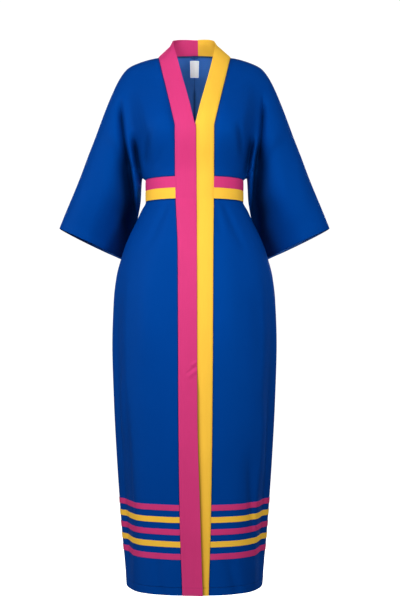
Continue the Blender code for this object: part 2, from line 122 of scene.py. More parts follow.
# The waist and skirt, a row for each height, as the solids have them
Ring = namedtuple("Ring", "at side front back full fold")
RINGS = [
    Ring(WAIST_TOP, WAIST_SIDE, WAIST_FRONT, WAIST_BACK, 2, 0),
    Ring(-369, 124.5, 95, 92, 2, 0),
    Ring(-394, 136, 101, 100, 2, 0),
    Ring(-420, 148, 106, 108, 2, 0),
    Ring(-450, 163, 111, 117, 2, 0),
    Ring(-480, 176, 115, 125, 2, 0),
    Ring(-517, 188, 119, 132, 2, 0),
    Ring(-560, 199, 122, 138, 2, 0.05),
    Ring(-620, 206, 125, 143, 2, 0.1),
    Ring(-735, 210, 127, 145, 2, 0.2),
    Ring(-876, 206, 126, 142, 2, 0.35),
    Ring(-1029, 198, 124, 138, 2, 0.5),
    Ring(-1132, 191, 126, 135, 2, 0.6),
    Ring(-1234, 183, 131, 133, 2.1, 0.6),
    Ring(-1295, 177, 138, 135, 2.4, 0.3),
    Ring(HEM, 173, 145, 138, 2.6, 0.05),
]
FOLD_FROM = 54.0
FOLD_TO = 67.0

# Both edges of each front band, a row for each height, as the solids have them
Closing = namedtuple("Closing", "at right_seam right_free left_free left_seam")
CLOSINGS = [
    Closing(-150, -BAND_HALF, 3, 1, BAND_HALF),
    Closing(-196, -BAND_HALF, 3, 1, BAND_HALF),
    Closing(WAIST_TOP, -BAND_HALF, 4, -1, BAND_HALF),
    Closing(-500, -41, 5, -3, 46),
    Closing(-900, -39, 6.5, -5, 43.5),
    Closing(-1150, -36, 13.5, -8, 40),
    Closing(HEM, -29, 19.5, -12, 34),
]
# A half collar, for the wearer's right (-1) and left (1), which leans in more
# Beside the neck point its cloth is drawn in and forward, up to 6 mm more at its top than the solid's
Collar = namedtuple("Collar", "at plan rise width")
COLLARS = {
    -1: [
        Collar(-3, 0, 82, 39.5),
        Collar(-1.5, 40, 62, 43.5),
        Collar(-0.5, 75, 49, 51),
        Collar(0, 88, 43.5, 53),
        Collar(0.25, 93, 39, 49.5),
        Collar(0.5, 95, 24, 46.5),
        Collar(0.73, 97, 0, 48.5),
    ],
    1: [
        Collar(-3, 0, 82, 39.5),
        Collar(-1.5, 40, 54, 45.5),
        Collar(-0.5, 75, 44, 51.5),
        Collar(0, 88, 41.5, 52.5),
        Collar(0.25, 93, 39, 47.5),
        Collar(0.5, 95, 24, 43.5),
        Collar(0.73, 97, 0, 46.5),
    ],
}
COLLAR_JOIN = 0.2

# A fold of the cloth: a curve from its top through three points, across and up in mm
# near and far: its widths on the side nearer the centre line and on the other side
# depth: how far it goes in, or out where it is below 0
# sharp: from 0 for a soft trough to 1 for a crease
# start and end: share of the depth left at its first and last point
Fold = namedtuple("Fold", "x0 z0 x1 z1 x2 z2 near far depth sharp start end")

# On the bodice and sleeves across is from the centre, for the wearer's right (-1) and left (1)
FRONT_FOLDS = {
    -1: [
        Fold(190, -95, 181, -190, 168, -290, 5, 9, 20, 0.6, 0, 0),
        Fold(178, -205, 162, -320, 162, -410, 4.5, 16, 44, 0.6, 0, 0.9),
        Fold(186, -200, 170, -320, 158, -440, 12, 34, 14, 0.2, 0, 0.8),
        Fold(152, -190, 147, -255, 136, -312, 10, 10, 26, 0.1, 0, 0.7),
        Fold(158, -350, 164, -425, 194, -510, 14, 32, 22, 0, 0, 1),
        Fold(113, -190, 119, -245, 126, -300, 7, 9, 9, 0, 0, 0),
        Fold(222, -150, 240, -290, 268, -440, 24, 24, 2.5, 0, 0, 0.4),
        Fold(143, -40, 150, -110, 152, -170, 16, 16, 2, 0, 0, 0),
        Fold(74, -120, 88, -180, 104, -240, 26, 26, -2, 0, 0, 0),
        Fold(62, -225, 84, -262, 108, -300, 9, 9, 1.5, 0, 0, 0.3),
    ],
    1: [
        Fold(174, -90, 170, -180, 160, -280, 5, 9, 20, 0.6, 0, 0),
        Fold(169, -200, 156, -300, 156, -400, 4.5, 16, 44, 0.6, 0, 0.9),
        Fold(176, -200, 164, -320, 158, -440, 12, 34, 14, 0.2, 0, 0.8),
        Fold(146, -190, 139, -250, 130, -306, 10, 9, 24, 0.1, 0, 0.7),
        Fold(152, -345, 160, -420, 194, -505, 14, 32, 24, 0, 0, 1),
        Fold(108, -170, 114, -228, 123, -290, 7, 9, 9, 0, 0, 0),
        Fold(216, -160, 244, -300, 262, -440, 24, 24, 2.5, 0, 0, 0.4),
        Fold(138, -36, 150, -105, 150, -165, 17, 17, 2, 0, 0, 0),
        Fold(70, -115, 82, -180, 100, -236, 26, 26, -2, 0, 0, 0),
        Fold(66, -232, 90, -268, 112, -302, 9, 9, 1.5, 0, 0, 0.3),
    ],
}
BACK_FOLDS = {
    -1: [
        Fold(182, -80, 174, -230, 152, -390, 6, 16, 24, 0.5, 0, 0.4),
        Fold(148, -195, 143, -250, 134, -306, 10, 10, 18, 0.1, 0, 0.6),
        Fold(172, -330, 182, -400, 206, -484, 14, 18, 10, 0, 0, 1),
        Fold(104, -200, 112, -255, 116, -305, 10, 10, 3, 0, 0, 0.2),
        Fold(214, -150, 238, -290, 262, -440, 20, 20, 4, 0, 0, 0.5),
        Fold(238, -320, 262, -400, 276, -480, 13, 13, -3, 0, 0, 1),
        Fold(34, -60, 62, -150, 96, -230, 20, 20, 2.5, 0, 0, 0),
        Fold(22, -210, 46, -260, 78, -304, 12, 12, 2, 0, 0, 0.3),
    ],
    1: [
        Fold(178, -76, 176, -225, 154, -396, 6, 16, 25, 0.5, 0, 0.4),
        Fold(150, -200, 144, -254, 134, -306, 10, 10, 18, 0.1, 0, 0.6),
        Fold(170, -330, 184, -405, 212, -486, 14, 18, 10, 0, 0, 1),
        Fold(98, -190, 110, -250, 117, -305, 10, 10, 3, 0, 0, 0.2),
        Fold(210, -140, 244, -300, 256, -440, 20, 20, 4, 0, 0, 0.5),
        Fold(244, -330, 270, -404, 290, -470, 14, 14, -3, 0, 0, 1),
        Fold(30, -70, 58, -150, 90, -236, 20, 20, 2.5, 0, 0, 0),
        Fold(26, -200, 52, -262, 84, -306, 12, 12, 2, 0, 0, 0.3),
    ],
}
# On the skirt across is the way round from the centre line, in mm of a mean girth
GIRTH_MM = 3.1        # mm of the mean girth for each degree round
SKIRT_FOLDS = {
    "front_right": [
        Fold(56, -372, 60, -400, 66, -470, 12, 12, 2.5, 0, 0.6, 0),
        Fold(96, -372, 108, -420, 130, -520, 15, 15, 3, 0, 0.6, 0),
        Fold(118, -420, 108, -640, 104, -830, 34, 34, -4, 0, 0, 0),
        Fold(184, -790, 190, -890, 192, -1010, 7, 9, -5, 0.2, 0, 0),
        Fold(172, -800, 172, -1040, 166, -1250, 12, 12, 6, 0.2, 0, 0.3),
        Fold(128, -960, 130, -1120, 136, -1340, 30, 30, -3.5, 0, 0, 0.6),
        Fold(98, -1215, 82, -1285, 66, -1340, 12, 12, 4, 0.2, 0, 1),
        Fold(70, -700, 72, -900, 80, -1150, 30, 30, 2, 0, 0, 0),
        Fold(212, -560, 216, -760, 214, -1000, 22, 22, 4, 0, 0, 0.2),
    ],
    "front_left": [
        Fold(62, -372, 66, -410, 72, -500, 12, 12, 3, 0, 0.7, 0),
        Fold(104, -372, 116, -430, 138, -540, 15, 15, 3.5, 0, 0.6, 0),
        Fold(78, -440, 76, -620, 80, -830, 30, 30, -3.5, 0, 0, 0),
        Fold(150, -560, 156, -700, 158, -860, 26, 26, 3, 0, 0, 0),
        Fold(126, -980, 146, -1100, 164, -1262, 14, 20, 6, 0.2, 0, 0.3),
        Fold(176, -860, 182, -980, 184, -1120, 12, 12, -4, 0, 0, 0),
        Fold(100, -1020, 104, -1180, 112, -1340, 28, 28, -3, 0, 0, 0.6),
        Fold(70, -1235, 84, -1290, 96, -1340, 14, 18, 4.5, 0, 0, 1),
        Fold(214, -580, 218, -780, 216, -1010, 22, 22, 4, 0, 0, 0.2),
    ],
    "back": [
        Fold(-96, -372, -108, -430, -120, -540, 16, 16, 3.5, 0, 0.6, 0),
        Fold(-50, -372, -56, -420, -60, -500, 13, 13, 2.5, 0, 0.6, 0),
        Fold(48, -372, 54, -430, 62, -520, 14, 14, 3, 0, 0.6, 0),
        Fold(102, -372, 112, -420, 126, -520, 15, 15, 3, 0, 0.6, 0),
        Fold(-70, -560, -84, -800, -92, -1340, 18, 26, 7, 0.2, 0, 1),
        Fold(-30, -760, -26, -1000, -20, -1340, 26, 26, -5, 0, 0, 0.9),
        Fold(34, -640, 42, -900, 46, -1340, 24, 16, 6, 0.2, 0, 1),
        Fold(84, -820, 92, -1060, 104, -1340, 26, 26, -5, 0, 0, 0.8),
        Fold(140, -620, 144, -900, 152, -1300, 16, 24, 6, 0.2, 0, 0.4),
        Fold(-146, -600, -150, -880, -154, -1300, 24, 18, 6, 0.2, 0, 0.4),
        Fold(-196, -700, -200, -900, -202, -1100, 18, 18, -4, 0, 0, 0),
        Fold(200, -720, 204, -920, 204, -1120, 18, 18, -4, 0, 0, 0),
    ],
}
# On the bands across is as seen from the front: the tack at the slit's top, then small waves
BAND_FOLDS = {
    -1: [
        Fold(5, -784, -10, -793, -28, -806, 2.6, 3.2, 0.9, 0.4, 1, 0),
        Fold(4, -774, -3, -779, -12, -785, 3.6, 3.6, -1.8, 0, 0.8, 0),
        Fold(4, -795, -7, -803, -22, -816, 5, 5, -2, 0, 0.8, 0),
        Fold(-22, -230, -20, -270, -22, -330, 12, 12, 0.8, 0, 0, 0),
        Fold(-30, -1180, -24, -1250, -22, -1330, 10, 10, 0.9, 0, 0, 0.5),
    ],
    1: [
        Fold(28, -250, 26, -290, 28, -350, 12, 12, 0.8, 0, 0, 0),
        Fold(26, -800, 24, -900, 22, -1050, 10, 10, 0.8, 0, 0, 0),
    ],
}

# Hem stripes, label and loop, as the solids have them
STRIPE_TOP = -1124.0
STRIPE_PITCH = 29.6
STRIPE_TALL = 13.5
STRIPES = 5
LABEL_HALF = 0.25
LABEL_TOP = 0.037
LABEL_LOW = 0.16
LOOP_HALF = 0.3
LOOP_DROP = 0.021
LOOP_FROM = 25
# Their thickness and distance from the cloth behind them, the label's at its top, where it is sewn on
LABEL_CLOTH = 0.5
LABEL_LIFT = 1.6
LOOP_RADIUS = 1.1
LOOP_LIFT = 1.4

# Control rows of the bodice, as the solids have them
BACK_NECK_AT = [-3, -2.5, -2, -1.5, -1, -0.6, -0.3]
SLEEVE_AT = [0, 0.6, 1.2, 1.8, 2.4, 3, 3.5, 4, 4.5, 5, 5.5, 6, 6.5, 7, 8, 8.5, 9, 9.7, 10.4, 11.2, 12]

FRONT = np.array((0.0, -1.0, 0.0))
BACK = np.array((0.0, 1.0, 0.0))


def ease(value):
    """A soft step from 0 to 1."""
    value = np.clip(value, 0.0, 1.0)
    return value * value * (3 - 2 * value)


def mix(first, second, share):
    return first + (second - first) * share


def unit(vectors):
    return vectors / np.maximum(np.linalg.norm(vectors, axis=-1, keepdims=True), 1e-9)


def curve(first, last, slope, last_slope, length, t):
    """Places t of the way along smooth curves with these ends and slopes."""
    return (first * (1 + 2 * t) * (1 - t) ** 2 + last * t * t * (3 - 2 * t)
            + length * slope * t * (1 - t) ** 2 - length * last_slope * t * t * (1 - t))


def column(rows, name, at):
    """One column of a table at places between its rows, on a smooth curve that never overshoots."""
    places = np.array([row.at for row in rows], float)
    values = np.array([getattr(row, name) for row in rows], float)
    if places[0] > places[-1]:
        places, values = places[::-1], values[::-1]
    steps = np.diff(values) / np.diff(places)
    before, after = steps[:-1], steps[1:]
    level = before * after <= 0
    inner = np.where(level, 0.0, 2 * before * after / np.where(level, 1.0, before + after))
    slopes = np.concatenate([steps[:1], inner, steps[-1:]])
    at = np.clip(at, places[0], places[-1])
    i = np.clip(np.searchsorted(places, at, side="right") - 1, 0, len(steps) - 1)
    length = np.diff(places)[i]
    return curve(values[i], values[i + 1], slopes[i], slopes[i + 1], length, (at - places[i]) / length)


def between(points, at, fine):
    """Rows of points at places between the given rows, on smooth curves through them."""
    at = np.asarray(at, float)
    slopes = np.empty_like(points)
    slopes[0] = (points[1] - points[0]) / (at[1] - at[0])
    slopes[-1] = (points[-1] - points[-2]) / (at[-1] - at[-2])
    slopes[1:-1] = (points[2:] - points[:-2]) / (at[2:] - at[:-2])[:, None, None]
    i = np.clip(np.searchsorted(at, fine, side="right") - 1, 0, len(at) - 2)
    length = at[i + 1] - at[i]
    t = ((fine - at[i]) / length)[:, None, None]
    return curve(points[i], points[i + 1], slopes[i], slopes[i + 1], length[:, None, None], t)


def rimmed(first, last, steps, *rims):
    """Even places with more of them close to each end, where a rim or a seam needs tight rows."""
    even = np.linspace(first, last, steps + 1)
    rims = np.array(rims)
    return np.concatenate([even[:1], first + rims, even[1:-1], last - rims[::-1], even[-1:]])


FOLD_PARTS = 12       # straight parts that stand for a fold's curve
FOLD_FADE = 0.4       # share of its length over which a fold fades at each end


def fold_depth(folds, across, up):
    """How far the folds push the cloth in at places seen from their side."""
    depth = np.zeros(np.broadcast(across, up).shape)
    for fold in folds:
        first, middle, last = np.array(fold[:6]).reshape(3, 2)
        bend = 2 * middle - (first + last) / 2
        shares = np.linspace(0, 1, FOLD_PARTS + 1)
        knots = [first * (1 - s) ** 2 + bend * 2 * s * (1 - s) + last * s * s for s in shares]
        near = np.full(depth.shape, 1e9)
        share = np.zeros(depth.shape)
        side = np.zeros(depth.shape)
        for k, (knot, run) in enumerate(zip(knots, np.diff(knots, axis=0))):
            dx, dz = across - knot[0], up - knot[1]
            part = np.clip((dx * run[0] + dz * run[1]) / (run @ run), 0, 1)
            ex, ez = dx - run[0] * part, dz - run[1] * part
            gap = np.hypot(ex, ez)
            closer = gap < near
            near = np.where(closer, gap, near)
            share = np.where(closer, (k + part) / FOLD_PARTS, share)
            side = np.where(closer, run[0] * ez - run[1] * ex, side)
        width = np.where(side > 0, fold.far, fold.near)
        ends = mix(fold.start, 1, ease(share / FOLD_FADE)) * mix(fold.end, 1, ease((1 - share) / FOLD_FADE))
        depth = depth + fold.depth * np.exp(-(near / width) ** (2 - fold.sharp)) * ends
    return depth


UNEVEN_TALL = 2.6     # how much longer the cloth's unevenness is up and down than across


def unevenness(points, size, seed):
    """A smooth random number from -1 to 1 for each point."""
    found = [
        noise.noise(Vector((x / size + seed, y / size, z / (UNEVEN_TALL * size))))
        for x, y, z in points.reshape(-1, 3)
    ]
    return np.array(found).reshape(points.shape[:-1])


def bodice(lines, facing, at, down):
    """Points of the bodice and sleeve on its lines, down from the top edge (0) to the low one (1)."""
    at, down = np.broadcast_arrays(np.asarray(at, float), np.asarray(down, float))
    turned = at < -NECK_LINES
    place = np.where(turned, -2 * NECK_LINES - at, at)
    line = Line(place, *[column(lines, name, place) for name in Line._fields[1:]])
    quarter = np.sin(np.pi * down / 2)
    over = mix(down, 1 - np.cos(np.pi * down / 2), line.roll)
    under = (1 - np.cos(np.pi * down)) / 2
    share = mix(over, under, line.tube)
    reach = mix(mix(down, quarter, line.roll), under, line.tube)
    bent = np.maximum(0.0, 1 - share * (WAIST_TOP - 2) / (V_POINT - 2))
    edge = (1 - ease(place / EDGE_LINES)) * (facing < 0)
    x = line.low_x + (line.top_x - line.low_x) * mix(1 - share, bent, edge)
    z = mix(line.top_z, line.low_z, share)
    waist = WAIST_FRONT if facing < 0 else WAIST_BACK
    low_y = line.low_y + facing * waist * np.sqrt(np.maximum(0, 1 - (line.low_x / WAIST_SIDE) ** 2))
    peak = FRONT_PEAK if facing < 0 else BACK_PEAK
    out = line.crown * np.sin(np.pi * down) + line.swell * np.sin(np.pi * share ** peak) ** 2
    tuck = line.tuck * (ease((share - TUCK_FROM) / (1 - TUCK_FROM)) if facing < 0 else reach)
    y = mix(line.top_y, low_y, reach) + tuck + facing * out
    return np.stack([np.where(turned, -x, x), y, z], -1)


def ring(height, turn, facing):
    """Points of the waist or skirt, turn degrees round from the centre line to the side seam."""
    side = column(RINGS, "side", height)
    deep = column(RINGS, "front" if facing < 0 else "back", height)
    power = 2 / column(RINGS, "full", height)
    flat = 1 - column(RINGS, "fold", height) * ease((turn - FOLD_FROM) / (FOLD_TO - FOLD_FROM))
    angle = np.radians(turn)
    x = side * np.sin(angle) ** power
    y = facing * deep * flat * np.abs(np.cos(angle)) ** power
    return np.stack([x, y, np.broadcast_to(height, x.shape)], -1)


def ring_turn(height, x):
    """Degrees round from the centre line at which the ring reaches this x."""
    share = np.minimum(np.abs(x) / column(RINGS, "side", height), 1.0)
    return np.degrees(np.arcsin(share ** (column(RINGS, "full", height) / 2)))


def centre_depth(x, height):
    """How far forward the cloth lies at the centre front."""
    low = ring(np.minimum(height, WAIST_TOP), ring_turn(np.minimum(height, WAIST_TOP), x), -1)[..., 1]
    share = np.clip((height - 2) / (WAIST_TOP - 2), 0, 1)
    edge = bodice(FRONT_LINES, -1, 0 * share, np.arccos(1 - share) * 2 / np.pi)[..., 1]
    high = edge - CENTRE_CROWN * (1 - np.minimum(np.abs(x) / BAND_HALF, 1) ** 2)
    return np.where(height <= WAIST_TOP, low, high)


def band_seam(side, at):
    """Seam edge of a half collar and band: back neck below 0, front edge to 1, then to 2 at the hem."""
    neck = bodice(BACK_LINES, 1, np.minimum(at, 0), 0 * at)
    edge = bodice(FRONT_LINES, -1, 0 * at, np.clip(at, 0, 1))
    height = mix(WAIST_TOP, HEM, np.clip(at - 1, 0, 1))
    x = np.abs(column(CLOSINGS, "right_seam" if side < 0 else "left_seam", height))
    low = np.stack([x, centre_depth(x, height), height], -1)
    at = at[..., None]
    return np.where(at < 0, neck, np.where(at <= 1, edge, low)) * (side, 1, 1)


def band(side, at, across):
    """Points of a half collar and band, across from its seam edge (0) to its free edge (1)."""
    at, across = np.broadcast_arrays(np.asarray(at, float), np.asarray(across, float))
    seam = band_seam(side, at)
    plan = np.radians(column(COLLARS[side], "plan", at)) * np.where(at < -NECK_LINES, -1, 1)
    rise = np.radians(column(COLLARS[side], "rise", at))
    level = np.cos(rise)
    forward = np.where(at > 0, CENTRE_CROWN / BAND_HALF * ease(at), np.cos(plan) * level)
    step = np.stack([-side * np.sin(plan) * level, -forward, np.sin(rise)], -1)
    collar = seam + step * (column(COLLARS[side], "width", at) * across)[..., None]
    collar[..., 1] -= COLLAR_SWELL * np.sin(np.pi * across) * ease(at)
    free = column(CLOSINGS, "right_free" if side < 0 else "left_free", seam[..., 2])
    x = mix(seam[..., 0], free, across)
    upright = np.stack([x, centre_depth(x, seam[..., 2]), seam[..., 2]], -1)
    blend = ease((V_POINT + V_BLEND - seam[..., 2]) / (2 * V_BLEND)) * (at > 0)
    points = mix(collar, upright, blend[..., None])
    if side > 0:
        lapped = ease((LAP_START - points[..., 0]) / LAP_RUN)
        points[..., 1] += LAP * lapped * ease((V_POINT + LAP_RISE - points[..., 2]) / LAP_SINK)
    else:
        below = ease((SLIT_TOP - points[..., 2]) / (SLIT_TOP - HEM))
        points[..., 1] -= SLIT_LIFT * across ** 3 * below * (points[..., 2] < SLIT_TOP)
    return points


class Sheet:
    """A grid of points on a piece of cloth, in millimetres, and the way out from each."""

    def __init__(self, points, outside):
        self.points = np.array(points, float)
        self.outside = outside
        # depth: how far each point lies pushed in, plus extra depth that only adds painted shade;
        # inner_shade: painted shade on the inner face alone
        self.depth = np.zeros(self.points.shape[:2])
        self.inner_shade = np.zeros(self.points.shape[:2])
        self.look()

    def look(self):
        """Finds the ways out from the points."""
        along = np.gradient(self.points, axis=0)
        across = np.gradient(self.points, axis=1)
        out = unit(np.cross(along, across))
        rows, columns = out.shape[:2]
        self.turned = out[rows // 2, columns // 2] @ self.outside < 0
        self.out = -out if self.turned else out

    def pushed(self, depth, way=None):
        """Pushes the cloth in by a depth for each point, against its way out or a way given; the depth also
        darkens its colour as painted shade.
        """
        self.points = self.points - (self.out if way is None else way) * depth[..., None]
        self.depth = self.depth + depth
        self.look()

    def trim(self, edge, width):
        """Cuts a width off an edge, the same all along it or one for each of its points."""
        outer, inner = {
            "first row": (np.s_[0], np.s_[1]),
            "last row": (np.s_[-1], np.s_[-2]),
            "first column": (np.s_[:, 0], np.s_[:, 1]),
            "last column": (np.s_[:, -1], np.s_[:, -2]),
        }[edge]
        width = np.asarray(width, float)[..., None]
        self.points[outer] += unit(self.points[inner] - self.points[outer]) * width

    def moved(self, distance):
        """Points of the same cloth moved outwards."""
        return self.points + self.out * distance

    def spread(self):
        """Places of the rows and of the columns on the flat cloth, in millimetres."""
        down = np.linalg.norm(np.diff(self.points, axis=0), axis=-1).mean(1)
        wide = np.linalg.norm(np.diff(self.points, axis=1), axis=-1).mean(0)
        return np.concatenate([[0], np.cumsum(down)]), np.concatenate([[0], np.cumsum(wide)])

    def cut(self):
        """The flat width, length and area of the cloth, in metres and square metres."""
        down = np.linalg.norm(np.diff(self.points, axis=0), axis=-1).sum(0).max() * MM
        wide = np.linalg.norm(np.diff(self.points, axis=1), axis=-1).sum(1).max() * MM
        p = self.points * MM
        first = np.cross(p[1:, :-1] - p[:-1, :-1], p[:-1, 1:] - p[:-1, :-1])
        second = np.cross(p[1:, :-1] - p[1:, 1:], p[:-1, 1:] - p[1:, 1:])
        area = (np.linalg.norm(first, axis=-1).sum() + np.linalg.norm(second, axis=-1).sum()) / 2
        return round(float(wide), 3), round(float(down), 3), round(float(area), 4)


def clear_selection():
    for chosen in list(bpy.context.selected_objects):
        chosen.select_set(False)


def new_piece(name, spots, faces, inner_faces, materials):
    """A mesh object from points in millimetres, smooth all over, inner faces in the second material."""
    mesh = bpy.data.meshes.new(name)
    mesh.from_pydata([tuple(spot) for spot in np.asarray(spots) * MM], [], faces)
    for material in materials:
        mesh.materials.append(material)
    mesh.shade_smooth()
    if len(materials) > 1:
        for index in inner_faces:
            mesh.polygons[index].material_index = 1
    piece = bpy.data.objects.new(name, mesh)
    bpy.context.scene.collection.objects.link(piece)
    return piece


RIM_TURNS = (45, 90, 135)     # degrees round a rim from the outer face to the inner one
# Painted shade: how much colour the cloth loses in its folds and seams
FOLD_SHADE = 0.8      # share of its colour that the cloth loses in a deep fold
FOLD_DEEP = 30.0      # depth in mm of a fold that loses all of it


def shell(name, sheet, thickness, materials):
    """The cloth of a sheet with its real thickness and round rims, its flat places as a UV map, and its
    painted shade.
    """
    rows, columns = sheet.points.shape[:2]
    half = np.broadcast_to(np.asarray(thickness, float) / 2, (rows, columns))[..., None]
    spots = [(sheet.points + way * sheet.out * half).reshape(-1, 3) for way in (1, -1)]
    count = rows * columns
    grid = np.arange(count).reshape(rows, columns)
    a, b, c, d = grid[:-1, :-1], grid[1:, :-1], grid[1:, 1:], grid[:-1, 1:]
    outer = np.stack([a, b, c, d], -1).reshape(-1, 4)
    inner = outer[:, ::-1] + count

    border = [(0, j) for j in range(columns)] + [(i, columns - 1) for i in range(1, rows)]
    border += [(rows - 1, j) for j in range(columns - 2, -1, -1)] + [(i, 0) for i in range(rows - 2, 0, -1)]
    i, j = np.array(border).T
    beyond = np.zeros((len(border), 3))
    edges = ((i == 0, (1, 0)), (i == rows - 1, (-1, 0)), (j == 0, (0, 1)), (j == columns - 1, (0, -1)))
    for place, step in edges:
        k, m = i[place], j[place]
        beyond[place] += unit(sheet.points[k, m] - sheet.points[k + step[0], m + step[1]])
    beyond = unit(beyond)
    loops = [grid[i, j]]
    for turn in RIM_TURNS:
        angle = math.radians(turn)
        loops.append(2 * count + len(border) * (len(loops) - 1) + np.arange(len(border)))
        size = half[i, j]
        round_rim = beyond * size * math.sin(angle) + sheet.out[i, j] * size * math.cos(angle)
        spots.append(sheet.points[i, j] + round_rim)
    loops.append(grid[i, j] + count)
    rims = []
    for upper, lower in zip(loops, loops[1:]):
        rims.append(np.stack([upper, np.roll(upper, -1), np.roll(lower, -1), lower], -1))
    faces = np.concatenate([outer, inner, *rims])
    if sheet.turned:
        faces = faces[:, ::-1]
    inner_faces = range(len(outer), 2 * len(outer))
    piece = new_piece(name, np.concatenate(spots), faces.tolist(), inner_faces, materials)

    down, wide = sheet.spread()
    flat = np.stack(np.broadcast_arrays(wide[None, :], -down[:, None]), -1).reshape(-1, 2)
    places = np.concatenate([flat, flat] + [flat[grid[i, j]]] * len(RIM_TURNS)) * MM
    corners = np.empty(len(piece.data.loops), int)
    piece.data.loops.foreach_get("vertex_index", corners)
    piece.data.uv_layers.new(name="Flat cloth").data.foreach_set("uv", places[corners].ravel())
    # Painted shade: the depth of folds and seams darkens the colour through the fold_shade attribute
    inner = (sheet.depth + sheet.inner_shade).ravel()
    depth = np.concatenate([sheet.depth.ravel(), inner] + [sheet.depth[i, j]] * len(RIM_TURNS))
    shade = piece.data.attributes.new("fold_shade", "FLOAT", "POINT")
    shade.data.foreach_set("value", 1 - FOLD_SHADE * ease(depth / FOLD_DEEP))
    return piece


def cloth_piece(node, sheet, thickness, faces, ending="_cloth"):
    """The cloth that replaces a node: its outer and inner finish, and the root body it is attached to."""
    piece = shell(node + ending, sheet, thickness, [look(face) for face in faces])
    wide, down, area = sheet.cut()
    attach(piece, "root")
    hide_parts(node)


class Value:
    """A number or colour that varies over a surface, so that shader maths reads as Python."""

    def __init__(self, nodes, socket):
        self.nodes = nodes
        self.socket = socket

    def _math(self, operation, first, second):
        return self.nodes.add("ShaderNodeMath", {"operation": operation}, {0: first, 1: second})

    def __add__(self, other):
        return self._math("ADD", self, other)

    __radd__ = __add__

    def __mul__(self, other):
        return self._math("MULTIPLY", self, other)

    __rmul__ = __mul__

    def __sub__(self, other):
        return self._math("SUBTRACT", self, other)

    def __rsub__(self, other):
        return self._math("SUBTRACT", other, self)


class Nodes:
    """The nodes of one material, or of the world."""

    def __init__(self, owner):
        self.owner = owner
        owner.use_nodes = True
        self.tree = owner.node_tree
        self.tree.nodes.clear()

    def add(self, kind, settings, inputs, output=0):
        """Adds a node: its settings first, then the values or links of its sockets."""
        node = self.tree.nodes.new(kind)
        for name, value in settings.items():
            setattr(node, name, value)
        for name, value in inputs.items():
            if isinstance(value, Value):
                self.tree.links.new(value.socket, node.inputs[name])
            else:
                node.inputs[name].default_value = value
        return Value(self, node.outputs[output]) if node.outputs else None

    def tinted(self, colour, strength):
        """A colour that is darker and lighter by a share of itself where the strength varies from 1."""
        brightness = self.add("ShaderNodeCombineColor", {}, {0: strength, 1: strength, 2: strength})
        return self.add("ShaderNodeMix", {"data_type": "RGBA", "blend_type": "MULTIPLY"},
                        {0: 1.0, 6: (*colour, 1), 7: brightness}, output=2)

    def smooth(self, value, low, high):
        """A soft step from 0 to 1 as the value goes from low to high."""
        return self.add("ShaderNodeMapRange", {"interpolation_type": "SMOOTHSTEP"},
                        {0: value, 1: low, 2: high, 3: 0.0, 4: 1.0})

    def finish(self, shader):
        kind = "Material" if isinstance(self.owner, bpy.types.Material) else "World"
        self.add("ShaderNodeOutput" + kind, {}, {0: shader})
        return self.owner


# How a face of the cloth takes the light. The last column is painted light: a glow that makes
# the yellow cloth and the label give back a little more light than they get.
Finish = namedtuple("Finish", "colour sheen_colour sheen roughness gloss weave brightener")
FINISHES = {
    "blue_face": Finish("blue", (0.0, 0.28, 1.0), None, 0.5, 0.18, 1.0, 0.0),
    "blue_reverse": Finish("reverse", (0.4, 0.6, 1.0), 0.1, 0.75, 0.15, 0.6, 0.0),
    "pink_face": Finish("pink", (1.0, 0.35, 0.6), None, 0.55, 0.18, 1.0, 0.0),
    "yellow_face": Finish("yellow", (1.0, 0.8, 0.3), None, 0.55, 0.18, 1.0, 0.08),
    "label_ribbon": Finish("label", (1.0, 1.0, 1.0), 0.2, 0.4, 0.4, 1.0, 0.2),
}


def cloth_material(name, colour, finish, sheen):
    """Smooth heavy cloth: fine twill, faint streaks along the yarn, small unevenness, a soft sheen, painted
    shade in its folds and seams, and the painted glow of its finish.
    """
    nodes = Nodes(bpy.data.materials.new(name))
    flat = nodes.add("ShaderNodeTexCoord", {}, {}, output="UV")
    place = nodes.add("ShaderNodeTexCoord", {}, {}, output="Object")
    along = nodes.add("ShaderNodeMapping", {}, {0: flat, 3: (900, 28, 1)})
    streaks = nodes.add("ShaderNodeTexNoise", {}, {0: along, "Scale": 1.0, "Detail": 3.0})
    blotches = nodes.add("ShaderNodeTexNoise", {}, {0: place, "Scale": 9.0, "Detail": 2.0})
    # Painted shade: the colour darkens in folds and at seams by the fold_shade attribute
    folds = nodes.add("ShaderNodeAttribute", {"attribute_name": "fold_shade"}, {}, output="Fac")
    strength = (0.88 + 0.12 * streaks + 0.12 * blotches) * folds
    turned = nodes.add("ShaderNodeMapping", {}, {0: flat, 2: (0, 0, math.radians(52)), 3: (1, 1, 1)})
    twill = nodes.add(
        "ShaderNodeTexWave", {"wave_type": "BANDS", "wave_profile": "SIN"},
        {0: turned, "Scale": 330.0, "Distortion": 1.2, "Detail": 1.0, "Detail Scale": 2.0}, output=1)
    grain = nodes.add("ShaderNodeTexNoise", {}, {0: flat, "Scale": 1500.0, "Detail": 2.0})
    height = finish.weave * twill + 0.6 * grain + 0.5 * streaks
    fine = nodes.add("ShaderNodeBump", {}, {"Strength": 0.22, "Distance": 0.0004, "Height": height})
    rumple = nodes.add("ShaderNodeTexNoise", {}, {0: place, "Scale": 26.0, "Detail": 2.0, "Roughness": 0.4})
    soft = nodes.add("ShaderNodeBump", {}, {
        "Strength": 0.35, "Distance": 0.0016, "Height": rumple, "Normal": fine})
    shader = nodes.add("ShaderNodeBsdfPrincipled", {}, {
        "Base Color": nodes.tinted(colour, strength),
        "Roughness": finish.roughness + 0.1 * (blotches - 0.5),
        "Metallic": 0.0,
        "Specular IOR Level": finish.gloss,
        "Specular Tint": (*finish.sheen_colour, 1),
        "Sheen Weight": sheen,
        "Sheen Roughness": 0.35,
        "Sheen Tint": (*finish.sheen_colour, 1),
        # Painted light: the face glows in its own colour, by its finish's last column
        "Emission Color": (*colour, 1),
        "Emission Strength": finish.brightener,
        "Normal": soft,
    })
    return nodes.finish(shader)


